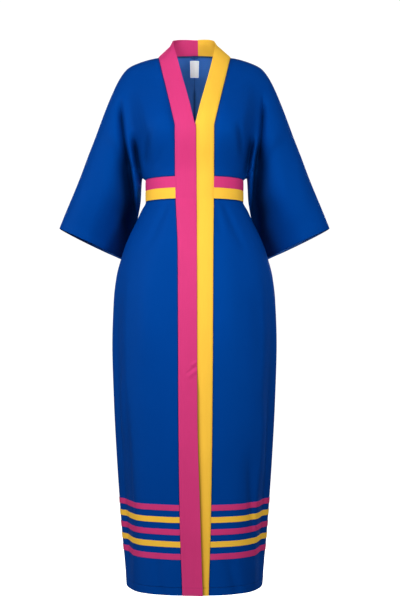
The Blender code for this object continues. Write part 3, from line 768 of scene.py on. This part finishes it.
def thread_material(name, colour):
    """Sewing thread: two plies twisted together, a little glossier than the cloth."""
    nodes = Nodes(bpy.data.materials.new(name))
    place = nodes.add("ShaderNodeTexCoord", {}, {}, output="Object")
    plies = nodes.add("ShaderNodeTexWave", {"wave_type": "BANDS", "bands_direction": "DIAGONAL"},
                      {0: place, "Scale": 900.0}, output=1)
    bump = nodes.add("ShaderNodeBump", {}, {"Strength": 0.4, "Distance": 0.0002, "Height": plies})
    shader = nodes.add("ShaderNodeBsdfPrincipled", {}, {
        "Base Color": nodes.tinted(colour, 0.8 + 0.3 * plies),
        "Roughness": 0.45,
        "Specular IOR Level": 0.3,
        "Normal": bump,
    })
    return nodes.finish(shader)


def floor_material(colour, glow):
    """Pale studio floor, lit up to white away from the dress."""
    nodes = Nodes(bpy.data.materials.new("studio_floor"))
    place = nodes.add("ShaderNodeTexCoord", {}, {}, output="Object")
    mottle = nodes.add("ShaderNodeTexNoise", {}, {0: place, "Scale": 3.0, "Detail": 3.0})
    away = nodes.add("ShaderNodeVectorMath", {"operation": "LENGTH"}, {0: place}, output=1)
    lit = glow * nodes.smooth(away, 0.3, 0.9)
    shader = nodes.add("ShaderNodeBsdfPrincipled", {}, {
        "Base Color": nodes.tinted(colour, 0.985 + 0.03 * mottle),
        "Roughness": 0.85,
        "Specular IOR Level": 0.1,
        "Emission Color": nodes.tinted((1, 1, 1), lit),
        "Emission Strength": 1.0,
    })
    return nodes.finish(shader)


SEEN_WHITE = 1.05     # strength of the surround where the camera sees it


def studio_world(surround):
    """A white surround whose light on the dress is soft and weak."""
    nodes = Nodes(bpy.data.worlds.new("studio_surround"))
    seen = nodes.add("ShaderNodeLightPath", {}, {}, output="Is Camera Ray")
    strength = surround + (SEEN_WHITE - surround) * seen
    shader = nodes.add("ShaderNodeBackground", {}, {"Color": (1, 1, 1, 1), "Strength": strength})
    return nodes.finish(shader)


def colours():
    return bpy.context.scene.dress_colours


def sizes():
    return bpy.context.scene.dress_sizes


def look(name):
    """The material of a finish or a thread, made once."""
    chosen = colours()
    found = bpy.data.materials.get(name)
    if found is None and name in FINISHES:
        finish = FINISHES[name]
        sheen = chosen.sheen if finish.sheen is None else finish.sheen
        found = cloth_material(name, getattr(chosen, finish.colour), finish, sheen)
    if found is None:
        found = thread_material(name, getattr(chosen, name.split("_")[0]))
    return found


class DressSizes(bpy.types.PropertyGroup):
    cloth: bpy.props.FloatProperty(
        name="Cloth", description="Thickness of the cloth in mm", default=1.1, min=0.3, max=2.0)
    hem_fold: bpy.props.FloatProperty(
        name="Hem fold", description="Height of the turned-up hem in mm", default=20.0, min=8.0, max=40.0)
    hem_extra: bpy.props.FloatProperty(
        name="Hem thickness", description="What the turned-up cloth adds to the hem's thickness in mm",
        default=0.7, min=0.0, max=2.0)
    seam: bpy.props.FloatProperty(
        name="Seam", description="Gap between the rims of two panels at a seam in mm",
        default=-0.2, min=-0.4, max=0.5)
    folds: bpy.props.FloatProperty(
        name="Folds", description="Strength of the hand-laid folds",
        default=1.0, min=0.0, max=2.0, subtype="FACTOR")
    rumple: bpy.props.FloatProperty(
        name="Rumple", description="Depth of the small unevenness in mm", default=0.9, min=0.0, max=3.0)
    stitch: bpy.props.FloatProperty(
        name="Stitch", description="Length of a stitch in mm", default=2.7, min=1.0, max=6.0)
    stitch_gap: bpy.props.FloatProperty(
        name="Stitch gap", description="Gap between two stitches in mm", default=0.8, min=0.2, max=3.0)
    thread: bpy.props.FloatProperty(
        name="Thread", description="Radius of the sewing thread in mm", default=0.22, min=0.1, max=0.6)


class DressColours(bpy.types.PropertyGroup):
    blue: bpy.props.FloatVectorProperty(
        name="Blue", description="Face of the main cloth",
        subtype="COLOR", default=(0.0004, 0.0515, 0.303), min=0, max=1)
    reverse: bpy.props.FloatVectorProperty(
        name="Reverse", description="Matt reverse of the main cloth",
        subtype="COLOR", default=(0.042, 0.17, 0.58), min=0, max=1)
    pink: bpy.props.FloatVectorProperty(
        name="Pink", description="Pink cloth", subtype="COLOR", default=(0.71, 0.045, 0.21), min=0, max=1)
    yellow: bpy.props.FloatVectorProperty(
        name="Yellow", description="Yellow cloth",
        subtype="COLOR", default=(0.99, 0.565, 0.055), min=0, max=1)
    label: bpy.props.FloatVectorProperty(
        name="Label", description="Bare woven label",
        subtype="COLOR", default=(0.92, 0.95, 1.0), min=0, max=1)
    sheen: bpy.props.FloatProperty(
        name="Sheen", description="Soft sheen of the cloth's face",
        default=0.03, min=0, max=1, subtype="FACTOR")


class StudioSettings(bpy.types.PropertyGroup):
    camera_back: bpy.props.FloatProperty(
        name="Camera distance", description="Distance of the camera in front of the dress", default=2.8,
        min=1.0, unit="LENGTH")
    camera_height: bpy.props.FloatProperty(
        name="Camera height", description="Height of the camera over the neck's base",
        default=-0.67, unit="LENGTH")
    frame_width: bpy.props.FloatProperty(
        name="Picture width", description="Width that the picture shows at the dress", default=1.024,
        min=0.1, unit="LENGTH")
    axis_x: bpy.props.FloatProperty(
        name="Picture axis X", description="Place of the lens axis across the picture, in pixels",
        default=194.5)
    axis_y: bpy.props.FloatProperty(
        name="Picture axis Y", description="Place of the lens axis down the picture, in pixels",
        default=319.7)
    floor: bpy.props.FloatProperty(
        name="Floor", description="Height of the floor", default=-1.62, unit="LENGTH")
    key: bpy.props.FloatProperty(
        name="Key light", description="Power of the light in front, high on the photo's left",
        default=5.6, min=0, unit="POWER")
    fill: bpy.props.FloatProperty(
        name="Fill light", description="Power of the light in front, on the photo's right",
        default=4.2, min=0, unit="POWER")
    front: bpy.props.FloatProperty(
        name="Front light", description="Power of the light over the camera",
        default=7.0, min=0, unit="POWER")
    side: bpy.props.FloatProperty(
        name="Side light", description="Power of the light beside the dress, on the photo's left",
        default=10.0, min=0, unit="POWER")
    neck: bpy.props.FloatProperty(
        name="Neck light", description="Power of the narrow light on the open neck",
        default=0.029, min=0, unit="POWER")
    back: bpy.props.FloatProperty(
        name="Back lights", description="Power of each light behind the dress",
        default=26.0, min=0, unit="POWER")
    surround: bpy.props.FloatProperty(
        name="Surround", description="Strength of the surround's light on the dress", default=0.07, min=0)
    glow: bpy.props.FloatProperty(
        name="Glow", description="Strength of the floor's own white", default=1.05, min=0)


# Rows of the bodice's cloth between two of its lines, and how far, in lines, the outermost ones are apart
LINE_ROWS = 12
SEAM_ROW = 0.05
CUFF_ROW = 0.04
# Parts of a line of the bodice, and the share of it that its outermost ones are
LINE_PARTS = 110
LINE_RIM = 0.003
# Rows of a band along its collar, front and skirt, and in the pucker of its tack
BAND_ROWS = (50, 80, 190)
TACK_PARTS = 50
# Columns across a band, close at its seam and at its free edge
BAND_COLUMNS = np.concatenate([[0, 0.026, 0.044, 0.068], np.linspace(0.1, 0.93, 20), [0.96, 0.985, 1]])
# How far the close columns of the waist and skirt lie from a panel's side edges: a front's in shares
# of its width, a back's in degrees
FRONT_RIMS = (0.0065, 0.011, 0.017)
BACK_RIMS = (0.55, 0.95, 1.4)

# Size in mm of the unevenness of each kind of piece
BODICE_RUMPLE = 46
SKIRT_RUMPLE = 60
BAND_RUMPLE = 30
WAISTBAND_RUMPLE = 22

# Share of the room inside a sleeve that the folds of its front and of its back can take up
FRONT_ROOM = 0.58
BACK_ROOM = 0.32

DITCH = 0.8           # depth in mm of the ditch pressed beside a seam
DITCH_WIDE = 2.4      # distance in mm of its bottom from the seam
# Painted shade along seams
SEAM_SHADE = 26.0     # shade in the seam itself, as that of a fold this deep in mm
SEAM_WIDE = 2.3       # width of that shade in mm
# Painted shade inside the centre back seam, and a painted shadow under the back collar's seam
FURROW_SHADE = 17.0   # shade and its width inside the centre back seam, below the label
FURROW_WIDE = 5.0
NECK_SHADE = 1.4 * SEAM_SHADE     # shade and its width inside the neck, under the collar's seam
NECK_SHADE_WIDE = 4
BAND_RISE = 1.1       # how far a band stands up from its seam, in mm
BAND_EXTRA = 0.3      # what a doubled band adds to the cloth's thickness, in mm
# Painted shade in the tack's pucker, and a painted shadow of the upper band's free edge on the under band
TACK_SHADE = 11.0     # shade in the pucker of the tack, for each mm of its depth
LAP_SHADE = 26.0      # shade on the under band beside the upper one's free edge
LAP_WIDE = (1.8, 6.5)         # its width in mm above the slit's top and well below it
LAP_WIDENS = 90.0             # height in mm over which it widens
TACK_ROWS = (-755.0, -825.0)  # heights between which the rows are close, for the pucker of the tack
CUFF_DROP = 3.4       # how far the back of a cuff hangs lower than its front, in mm
CUFF_HEM = 14.0       # height of a cuff's turned-up hem, in mm
WAISTBAND_SWELL = 0.9 # how far a waistband swells out between its seams, in mm


def ditch(sheet, distance, share=1.0, wide=SEAM_WIDE):
    """Presses the cloth in beside a seam at a distance, and paints shade on the seam over a width."""
    near = distance / DITCH_WIDE
    sheet.pushed(DITCH * near * np.exp(1 - near) * share)
    sheet.depth += SEAM_SHADE * np.exp(-(distance / wide) ** 2) * share


ALL_EDGES = ("first row", "last row", "first column", "last column")


def seam_edges(sheet, edges=ALL_EDGES):
    """Cuts half the cloth's thickness and half the gap of a seam off the edges."""
    for edge in edges:
        sheet.trim(edge, sizes().cloth / 2 + sizes().seam / 2)


def distances(sheet, axis):
    """Distance of each point from the first row (0) or the first column (1) over the cloth."""
    steps = np.linalg.norm(np.diff(sheet.points, axis=axis), axis=-1)
    return np.insert(np.cumsum(steps, axis=axis), 0, 0, axis=axis)


def hollow(at, down):
    """Room in mm between the front and the back at the same place of their sleeve lines."""
    front = bodice(FRONT_LINES, -1, np.maximum(at, 0), down)[..., 1]
    back = bodice(BACK_LINES, 1, np.maximum(at, 0), down)[..., 1]
    return np.maximum(back - front, 1.0)


def bodice_sheet(side, facing):
    """One quarter of the bodice with its half sleeve."""
    lines = FRONT_LINES if facing < 0 else BACK_LINES
    control = SLEEVE_AT if facing < 0 else BACK_NECK_AT + SLEEVE_AT
    steps = [np.linspace(a, b, max(3, round((b - a) * LINE_ROWS) + 1)) for a, b in zip(control, control[1:])]
    fine = np.unique(np.concatenate(steps + [[control[0] + SEAM_ROW, control[-1] - CUFF_ROW]]))
    down = rimmed(0, 1, LINE_PARTS, LINE_RIM)
    coarse = bodice(lines, facing, np.array(control, float)[:, None], down[None, :])
    points = between(coarse, control, fine) * (side, 1, 1)
    sheet = Sheet(points, FRONT if facing < 0 else BACK)

    x, z = np.abs(points[..., 0]), points[..., 2]
    folds = (FRONT_FOLDS if facing < 0 else BACK_FOLDS)[side]
    at, low = fine[:, None], down[None, :]
    calm = ease(low / 0.1) * ease((1 - low) / 0.08) * ease((at - fine[0]) / 0.9)
    wanted = fold_depth(folds, x, z) * calm * sizes().folds
    room = hollow(at, low) * (FRONT_ROOM if facing < 0 else BACK_ROOM)
    pushed = np.where(wanted > 0, (np.maximum(wanted, 0.01) ** -4 + room ** -4) ** -0.25, wanted)
    sheet.pushed(pushed, (0, facing, 0))
    # Painted shade for the part of a fold that the room in the sleeve keeps from being pushed in
    sheet.depth += wanted - pushed
    sheet.pushed(unevenness(points, BODICE_RUMPLE, 3.1 * side + facing) * sizes().rumple * calm)
    from_top = distances(sheet, 1)
    if facing < 0:
        ditch(sheet, distances(sheet, 0))
    else:
        from_centre = distances(sheet, 0)
        ditch(sheet, from_centre, 0.35)
        # Painted shade on the inner face: a furrow down the centre back and a shadow under the collar
        sheet.inner_shade = FURROW_SHADE * np.exp(-(from_centre / FURROW_WIDE) ** 2) * ease((-45 - z) / 40)
        sheet.inner_shade += NECK_SHADE * np.exp(-(from_top / NECK_SHADE_WIDE) ** 2) * (at < 0)
    ditch(sheet, from_top, np.where(at < 0, 0.8, 0.35))
    ditch(sheet, from_top[:, -1:] - from_top, np.where(at < 7, 0.8, 0.35))
    return sheet


def hem_thickness(distance, fold):
    """Thickness of the cloth at a distance from an edge that is turned up by a fold."""
    chosen = sizes()
    return chosen.cloth + chosen.hem_extra * ease((fold + 1.5 - distance) / 3)


class DRESS_OT_bodice(bpy.types.Operator):
    """Fronts and backs of the bodice, each with its half of a sleeve"""

    bl_idname = "dress.bodice"
    bl_label = "Bodice and sleeves"

    def execute(self, context):
        clear_selection()
        for side, word in ((-1, "right"), (1, "left")):
            stitched = []
            for facing, name in ((-1, "front"), (1, "back")):
                sheet = bodice_sheet(side, facing)
                seam_edges(sheet, ("first row", "first column", "last column"))
                if facing > 0:
                    sheet.trim("last row", -CUFF_DROP * np.sin(np.linspace(0, np.pi, sheet.points.shape[1])))
                from_row = distances(sheet, 0)
                to_cuff = from_row[-1:] - from_row
                stitched.append(hem_line(sheet, to_cuff, CUFF_HEM - HEM_STITCHES, hem_lift()))
                cloth_piece("%s_bodice_%s" % (name, word), sheet, hem_thickness(to_cuff, CUFF_HEM),
                            ("blue_face", "blue_reverse"))
            thread_piece("cuff_stitching_" + word, stitched, "blue_cloth")
        return {"FINISHED"}


def band_rows(side):
    """Places of the rows of a half collar and band, close at its ends, its tack and its hem's stitches."""
    first = -NECK_LINES - COLLAR_JOIN if side < 0 else -NECK_LINES + COLLAR_JOIN
    ends = ((first, 0), (0, 1), (1, 2))
    neck, front, skirt = [np.linspace(*pair, rows) for pair, rows in zip(ends, BAND_ROWS)]
    close = np.concatenate([np.linspace(*TACK_ROWS, TACK_PARTS), hem_rows()])
    front = front[1:]
    skirt = np.sort(np.concatenate([skirt[1:], 1 + (close - WAIST_TOP) / (HEM - WAIST_TOP)]))
    return np.concatenate([neck[:1], [first + 0.02], neck[1:], front, skirt[:-1], [2 - 0.001], skirt[-1:]])


def band_sheet(side):
    """A half collar and band, raised from its seam, with its small waves, painted shade in its tack and a
    painted shadow beside the upper band.
    """
    across = BAND_COLUMNS[None, :]
    at = band_rows(side)[:, None]
    points = band(side, at, across)
    sheet = Sheet(points, FRONT)
    x, height = points[..., 0], points[..., 2]
    inner = ease(across / 0.2)
    depth = fold_depth(BAND_FOLDS[side], x, height)
    depth = depth + unevenness(points, BAND_RUMPLE, 9.0 + side) * 0.5 * inner
    rise = BAND_RISE * ease(across / 0.1) * ease((1.08 - across) / 0.12)
    sheet.pushed(depth * inner - rise * mix(0.3, 1, ease(at / 0.1)))
    # Painted shade in the tack's pucker on the upper band, and a painted shadow beside its free edge on the
    # under band
    if side < 0:
        sheet.depth += TACK_SHADE * fold_depth(BAND_FOLDS[side][:1], x, height)
    else:
        beyond = np.maximum(x - column(CLOSINGS, "right_free", height), 0)
        wide = mix(*LAP_WIDE, ease((SLIT_TOP - height) / LAP_WIDENS))
        sheet.depth += LAP_SHADE * np.exp(-(beyond / wide) ** 2) * (height < V_POINT)
    return sheet


class DRESS_OT_bands(bpy.types.Operator):
    """Half collars with their front bands"""

    bl_idname = "dress.bands"
    bl_label = "Collar and front bands"

    def execute(self, context):
        clear_selection()
        for side, word, colour in ((-1, "right", "pink"), (1, "left", "yellow")):
            sheet = band_sheet(side)
            height = sheet.points[..., 2] - HEM
            hem_groove(sheet, height)
            seam_edges(sheet, ("first column", "first row", "last row"))
            thickness = hem_thickness(height, sizes().hem_fold) + BAND_EXTRA
            face = colour + "_face"
            cloth_piece("front_band_%s_%s" % (word, colour), sheet, thickness, (face, face))
            line = hem_line(sheet, height, sizes().hem_fold - HEM_STITCHES, hem_lift() + BAND_EXTRA / 2)
            thread_piece("front_band_stitching_" + colour, [line], colour + "_cloth")
        return {"FINISHED"}


def ring_sheet(heights, facing, side):
    """A front of the waist or skirt from its band to the side seam, or half of a back."""
    if facing < 0:
        seam = column(CLOSINGS, "right_seam" if side < 0 else "left_seam", heights)
        start = ring_turn(heights, seam)
        shares = rimmed(0, 1, 44, *FRONT_RIMS)
        turn = mix(start[:, None], 90.0, shares[None, :])
        points = ring(heights[:, None], turn, -1) * (side, 1, 1)
        return Sheet(points, FRONT), turn * side
    turn = rimmed(-90, 90, 96, *BACK_RIMS)
    turn = np.broadcast_to(turn[None, :], (len(heights), len(turn)))
    points = ring(heights[:, None], np.abs(turn), 1)
    points[..., 0] *= np.sign(turn)
    return Sheet(points, BACK), turn


def skirt_sheet(heights, word):
    """A panel of the skirt with its folds; word is front_right, front_left or back."""
    facing = 1 if word == "back" else -1
    side = {"front_right": -1, "front_left": 1, "back": 1}[word]
    sheet, turn = ring_sheet(heights, facing, side)
    points = sheet.points.copy()
    across = turn * GIRTH_MM if word == "back" else np.abs(turn) * GIRTH_MM
    depth = fold_depth(SKIRT_FOLDS[word], across, points[..., 2]) * sizes().folds
    seams = ease((90 - np.abs(turn)) / 7)
    if word != "back":
        seams = seams * ease((np.abs(turn) - np.abs(turn[:, :1])) / 7)
    top = ease((WAIST_LOW - heights[:, None]) / 26)
    depth = depth + unevenness(points, SKIRT_RUMPLE, 5.0 + side * facing) * sizes().rumple
    sheet.pushed(depth * seams * top)
    from_side = distances(sheet, 1)
    ditch(sheet, from_side, 1.0 if facing < 0 else 0.35)
    ditch(sheet, from_side[:, -1:] - from_side, 0.35)
    ditch(sheet, np.broadcast_to(WAIST_LOW - heights[:, None], points.shape[:2]), 0.8)
    return sheet


class DRESS_OT_waistbands(bpy.types.Operator):
    """Upper and lower waistband, each in two fronts and a back"""

    bl_idname = "dress.waistbands"
    bl_label = "Waistbands"

    def execute(self, context):
        clear_selection()
        bands = (("upper", "pink", WAIST_TOP, WAIST_JOIN), ("lower", "yellow", WAIST_JOIN, WAIST_LOW))
        for name, colour, top, low in bands:
            for word, facing, side in (("front_right", -1, -1), ("front_left", -1, 1), ("back", 1, 1)):
                sheet, _ = ring_sheet(rimmed(top, low, 6, -0.8), facing, side)
                shares = (sheet.points[..., 2] - low) / (top - low)
                swell = WAISTBAND_SWELL * np.sin(np.pi * shares) ** 0.5
                uneven = unevenness(sheet.points, WAISTBAND_RUMPLE, 7.0 + side * facing)
                sheet.pushed(uneven * 0.5 * swell - 0.5 * swell)
                seam_edges(sheet)
                cloth_piece("waistband_%s_%s" % (name, word), sheet, sizes().cloth,
                            (colour + "_face", "blue_reverse"))
        return {"FINISHED"}


class DRESS_OT_skirt(bpy.types.Operator):
    """Two fronts and the back of the skirt"""

    bl_idname = "dress.skirt"
    bl_label = "Skirt"

    def execute(self, context):
        clear_selection()
        heights = np.sort(np.concatenate([rimmed(WAIST_LOW, HEM, 160, -1.0), hem_rows()]))[::-1]
        stitched = []
        for word in ("front_right", "front_left", "back"):
            sheet = skirt_sheet(heights, word)
            hem_groove(sheet, sheet.points[..., 2] - HEM)
            seam_edges(sheet)
            height = sheet.points[..., 2] - HEM
            stitched.append(hem_line(sheet, height, sizes().hem_fold - HEM_STITCHES, hem_lift()))
            cloth_piece("skirt_" + word, sheet, hem_thickness(height, sizes().hem_fold),
                        ("blue_face", "blue_reverse"))
        thread_piece("skirt_hem_stitching", stitched, "blue_cloth")
        return {"FINISHED"}


STRIPE_LIFT = 1.0     # from the skirt's middle to a stripe's middle, in mm
STRIPE_CLOTH = 0.7    # thickness of a stripe, in mm
STRIPE_SHORT = 0.6    # how far a stripe ends before a band, in mm


def stripe_sheet(top):
    """One stripe from band to band, over both side seams."""
    heights = rimmed(top, top - STRIPE_TALL, 4, -0.6)
    right, back, left = (skirt_sheet(heights, word) for word in ("front_right", "back", "front_left"))
    right, back, left = (sheet.moved(STRIPE_LIFT) for sheet in (right, back, left))
    return Sheet(np.concatenate([right, back[:, 1:], left[:, ::-1][:, 1:]], axis=1), BACK)


def model_stitch():
    """One stitch along X, thin at its ends and sunk there: its points in mm and its faces."""
    chosen = sizes()
    length, radius = chosen.stitch * MM, chosen.thread * MM
    bpy.ops.mesh.primitive_cylinder_add(
        vertices=6, radius=radius, depth=length, rotation=(0, math.radians(90), 0))
    stitch = bpy.context.active_object
    bpy.ops.object.transform_apply(location=True, rotation=True, scale=True)
    bpy.ops.object.mode_set(mode="EDIT")
    shape = bmesh.from_edit_mesh(stitch.data)
    bpy.ops.mesh.select_mode(type="EDGE")
    for edge in shape.edges:
        edge.select_set(edge.calc_length() > length / 2)
    bpy.ops.mesh.subdivide(number_cuts=3)
    bpy.ops.mesh.select_mode(type="VERT")
    for far, narrow, sunk in ((0.45, 0.35, 0.5), (0.2, 0.9, 0.5)):
        for vertex in shape.verts:
            vertex.select_set(abs(vertex.co.x) > length * far)
        shape.select_flush_mode()
        bpy.ops.transform.resize(value=(1, narrow, narrow))
        bpy.ops.transform.translate(value=(0, 0, -radius * sunk))
    bpy.ops.object.mode_set(mode="OBJECT")
    spots = np.array([vertex.co for vertex in stitch.data.vertices]) / MM
    faces = [tuple(face.vertices) for face in stitch.data.polygons]
    bpy.data.objects.remove(stitch)
    return spots, faces


def at_places(path, places, wanted):
    """Points at wanted distances along a path whose own points are at these places."""
    return np.stack([np.interp(wanted, places, path[:, k]) for k in range(3)], -1)


def thread_piece(name, runs, slot):
    """A row of stitches along each line on the cloth, copies of the one that is modelled."""
    clear_selection()
    shape, shape_faces = model_stitch()
    pitch = sizes().stitch + sizes().stitch_gap
    spots, faces = [], []
    for path, ways in runs:
        places = np.concatenate([[0], np.cumsum(np.linalg.norm(np.diff(path, axis=0), axis=-1))])
        middles = np.arange(1 + pitch / 2, places[-1] - 1 - pitch / 2, pitch)
        middle = at_places(path, places, middles)
        ahead = unit(at_places(path, places, middles + 0.5) - middle)
        out = unit(at_places(ways, places, middles))
        beside = unit(np.cross(out, ahead))
        for base, x, y, z in zip(middle, ahead, beside, out):
            first = len(spots) * len(shape)
            spots.append(base + shape @ np.stack([x, y, z]))
            faces += [tuple(first + corner for corner in face) for face in shape_faces]
    piece = new_piece(name, np.concatenate(spots), faces, (), [look(slot.split("_")[0] + "_thread")])
    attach(piece, "root")


def row_line(sheet, row, lift):
    """A row of a sheet, lifted off its middle, and the ways out along it."""
    return sheet.points[row] + sheet.out[row] * lift, sheet.out[row]


HEM_STITCHES = 1.8    # from the top of a turned-up hem down to its stitches, in mm
HEM_PULL = 0.25       # how far the stitches pull the cloth in, in mm
HEM_PULL_WIDE = 1.3   # and over which width, in mm
# Painted shade along the hem's stitches
HEM_SHADE = 9.0       # shade along them, as that of a fold this deep in mm


def hem_rows():
    """Heights of close rows at the hem's stitches."""
    return HEM + sizes().hem_fold - HEM_STITCHES + np.array([2.4, 1.2, 0.0, -1.2, -2.4])


def hem_groove(sheet, height):
    """Pulls the cloth in along a hem's stitches and paints shade there."""
    near = np.exp(-((height - sizes().hem_fold + HEM_STITCHES) / HEM_PULL_WIDE) ** 2)
    sheet.pushed(HEM_PULL * near)
    sheet.depth += HEM_SHADE * near


def hem_line(sheet, to_edge, height, lift):
    """A line on a sheet at a height over its last row, lifted off its middle, and the ways out."""
    columns = range(sheet.points.shape[1])
    path, ways = [
        np.array([at_places(grid[::-1, j], to_edge[::-1, j], height) for j in columns])
        for grid in (sheet.points + sheet.out * lift, sheet.out)
    ]
    return path, unit(ways)


def hem_lift():
    """From the middle of a turned-up hem to its face, in mm."""
    return (sizes().cloth + sizes().hem_extra) / 2


class DRESS_OT_hem_stripes(bpy.types.Operator):
    """Five narrow stripes sewn round the skirt, with their stitching"""

    bl_idname = "dress.hem_stripes"
    bl_label = "Hem stripes"

    def execute(self, context):
        clear_selection()
        runs = {"pink": [], "yellow": []}
        for k in range(STRIPES):
            colour = "pink" if k % 2 == 0 else "yellow"
            sheet = stripe_sheet(STRIPE_TOP - k * STRIPE_PITCH)
            sheet.trim("first column", STRIPE_SHORT)
            sheet.trim("last column", STRIPE_SHORT)
            face = colour + "_face"
            cloth_piece("hem_stripe_%d_%s" % (k + 1, colour), sheet, STRIPE_CLOTH, (face, face))
            for row in (1, -2):
                runs[colour].append(row_line(sheet, row, STRIPE_CLOTH / 2))
        for colour, lines in runs.items():
            thread_piece("hem_stripe_stitching_" + colour, lines, colour + "_cloth")
        return {"FINISHED"}


class DRESS_OT_label(bpy.types.Operator):
    """The bare label and the hanging loop inside the back neck"""

    bl_idname = "dress.label"
    bl_label = "Label and hanging loop"

    def execute(self, context):
        clear_selection()
        places = rimmed(-NECK_LINES - LABEL_HALF, -NECK_LINES + LABEL_HALF, 14, 0.012)
        downs = rimmed(LABEL_TOP, LABEL_LOW, 22, 0.002)
        points = bodice(BACK_LINES, 1, places[None, :], downs[:, None])
        under = Sheet(points, BACK)
        share = (downs[:, None] - LABEL_TOP) / (LABEL_LOW - LABEL_TOP)
        curl = LABEL_LIFT * (1 + share ** 2) + 0 * places[None, :]
        label = Sheet(points - under.out * curl[..., None], BACK)
        cloth_piece("neck_label", label, LABEL_CLOTH, ("label_ribbon", "label_ribbon"),
                    ending="_ribbon")
        path, ways = row_line(label, 2, -LABEL_CLOTH / 2)
        thread_piece("neck_label_stitching", [(path, -ways)], "label_white")

        angles = np.radians(np.linspace(LOOP_FROM, 180 - LOOP_FROM, 24))
        path = np.stack([-NECK_LINES - LOOP_HALF * np.cos(angles), LOOP_DROP * np.sin(angles)])
        rows = [bodice(BACK_LINES, 1, path[0], path[1] + step) for step in (0, LOOP_DROP)]
        under = Sheet(np.array(rows), BACK)
        middle = under.points[0] - under.out[0] * (sizes().cloth / 2 + LOOP_LIFT)
        cord = bpy.data.curves.new("hanging_loop_cord", "CURVE")
        cord.dimensions = "3D"
        cord.bevel_depth = LOOP_RADIUS * MM
        cord.bevel_resolution = 3
        cord.use_fill_caps = True
        spline = cord.splines.new("POLY")
        spline.points.add(len(middle) - 1)
        for point, spot in zip(spline.points, middle * MM):
            point.co = (*spot, 1)
        cord.materials.append(look("blue_thread"))
        loop = bpy.data.objects.new("hanging_loop_cord", cord)
        context.scene.collection.objects.link(loop)
        clear_selection()
        loop.select_set(True)
        context.view_layer.objects.active = loop
        bpy.ops.object.convert(target="MESH")
        bpy.ops.object.shade_smooth()
        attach(loop, "root")
        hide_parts("hanging_loop")
        return {"FINISHED"}


class DRESS_OT_studio(bpy.types.Operator):
    """Floor, lights, surround and camera"""

    bl_idname = "dress.studio"
    bl_label = "Studio"

    def execute(self, context):
        clear_selection()
        chosen = context.scene.studio_settings
        bpy.ops.mesh.primitive_plane_add(size=60, location=(0, 0, chosen.floor))
        floor = context.active_object
        floor.name = "studio_floor"
        floor.data.materials.append(floor_material((0.9, 0.9, 0.9), chosen.glow))
        floor.visible_diffuse = False
        floor.visible_glossy = False
        context.scene.world = studio_world(chosen.surround)
        for lamp in LAMPS:
            self.light(lamp, getattr(chosen, lamp.power))

        camera_data = bpy.data.cameras.new("photo_camera")
        camera_data.sensor_fit = "HORIZONTAL"
        camera_data.sensor_width = 36
        camera_data.lens = 36 * chosen.camera_back / chosen.frame_width
        camera_data.shift_x = (PHOTO_SIZE[0] / 2 - chosen.axis_x) / PHOTO_SIZE[0]
        camera_data.shift_y = (chosen.axis_y - PHOTO_SIZE[1] / 2) / PHOTO_SIZE[0]
        camera = bpy.data.objects.new("photo_camera", camera_data)
        context.scene.collection.objects.link(camera)
        camera.location = (0, -chosen.camera_back, chosen.camera_height)
        camera.rotation_euler = (math.radians(90), 0, 0)
        context.scene.camera = camera
        context.scene.view_settings.view_transform = "Standard"
        return {"FINISHED"}

    def light(self, lamp, power):
        """A soft round light, aimed at a height on the middle line of the dress."""
        data = bpy.data.lights.new(lamp.name, "AREA")
        data.shape = "DISK"
        data.size = lamp.size
        data.spread = math.radians(lamp.spread)
        data.energy = power
        light = bpy.data.objects.new(lamp.name, data)
        bpy.context.scene.collection.objects.link(light)
        light.location = (lamp.x, lamp.y, lamp.z)
        aim = Vector((0, 0, lamp.aim)) - light.location
        light.rotation_euler = aim.to_track_quat("-Z", "Y").to_euler()
        light.visible_camera = False
        light.visible_glossy = lamp.y < 0


PHOTO_SIZE = (400, 596)       # pixels of the photograph's frame

# The studio's lights in metres: the setting with the power, how wide the light is and fans out
Lamp = namedtuple("Lamp", "name power x y z size spread aim")
LAMPS = (
    Lamp("key_light", "key", -1.1, -1.9, 0.5, 0.7, 90, -0.45),
    Lamp("fill_light", "fill", 1.0, -1.6, -0.3, 0.6, 100, -0.45),
    Lamp("front_light", "front", 0.1, -3.1, 0.15, 0.8, 100, -0.4),
    Lamp("side_light", "side", -2.6, -1.2, -0.2, 1.0, 120, -0.5),
    Lamp("neck_light", "neck", 0.0, -2.4, 0.42, 0.15, 9, 0.0),
    Lamp("back_light_right", "back", -1.5, 2.3, 0.5, 1.2, 120, -0.5),
    Lamp("back_light_left", "back", 1.7, 2.0, 0.2, 1.2, 120, -0.5),
)


class DRESS_PT_panel(bpy.types.Panel):
    bl_label = "Dress"
    bl_idname = "DRESS_PT_panel"
    bl_space_type = "VIEW_3D"
    bl_region_type = "UI"
    bl_category = "Dress"

    def draw(self, context):
        for group in (context.scene.dress_sizes, context.scene.dress_colours, context.scene.studio_settings):
            box = self.layout.box()
            for name in group.__annotations__:
                box.prop(group, name)
        for step in STEPS:
            self.layout.operator(step.bl_idname)


GROUPS = {
    "dress_sizes": DressSizes,
    "dress_colours": DressColours,
    "studio_settings": StudioSettings,
}
STEPS = (
    DRESS_OT_bodice,
    DRESS_OT_bands,
    DRESS_OT_waistbands,
    DRESS_OT_skirt,
    DRESS_OT_hem_stripes,
    DRESS_OT_label,
    DRESS_OT_studio,
)


def register():
    for name, group in GROUPS.items():
        bpy.utils.register_class(group)
        setattr(bpy.types.Scene, name, bpy.props.PointerProperty(type=group))
    for step in STEPS:
        bpy.utils.register_class(step)
    bpy.utils.register_class(DRESS_PT_panel)


def unregister():
    bpy.utils.unregister_class(DRESS_PT_panel)
    for step in reversed(STEPS):
        bpy.utils.unregister_class(step)
    for name, group in GROUPS.items():
        delattr(bpy.types.Scene, name)
        bpy.utils.unregister_class(group)


def main():
    register()
    bpy.ops.dress.bodice()
    bpy.ops.dress.bands()
    bpy.ops.dress.waistbands()
    bpy.ops.dress.skirt()
    bpy.ops.dress.hem_stripes()
    bpy.ops.dress.label()
    bpy.ops.dress.studio()


if __name__ == "__main__":
    main()
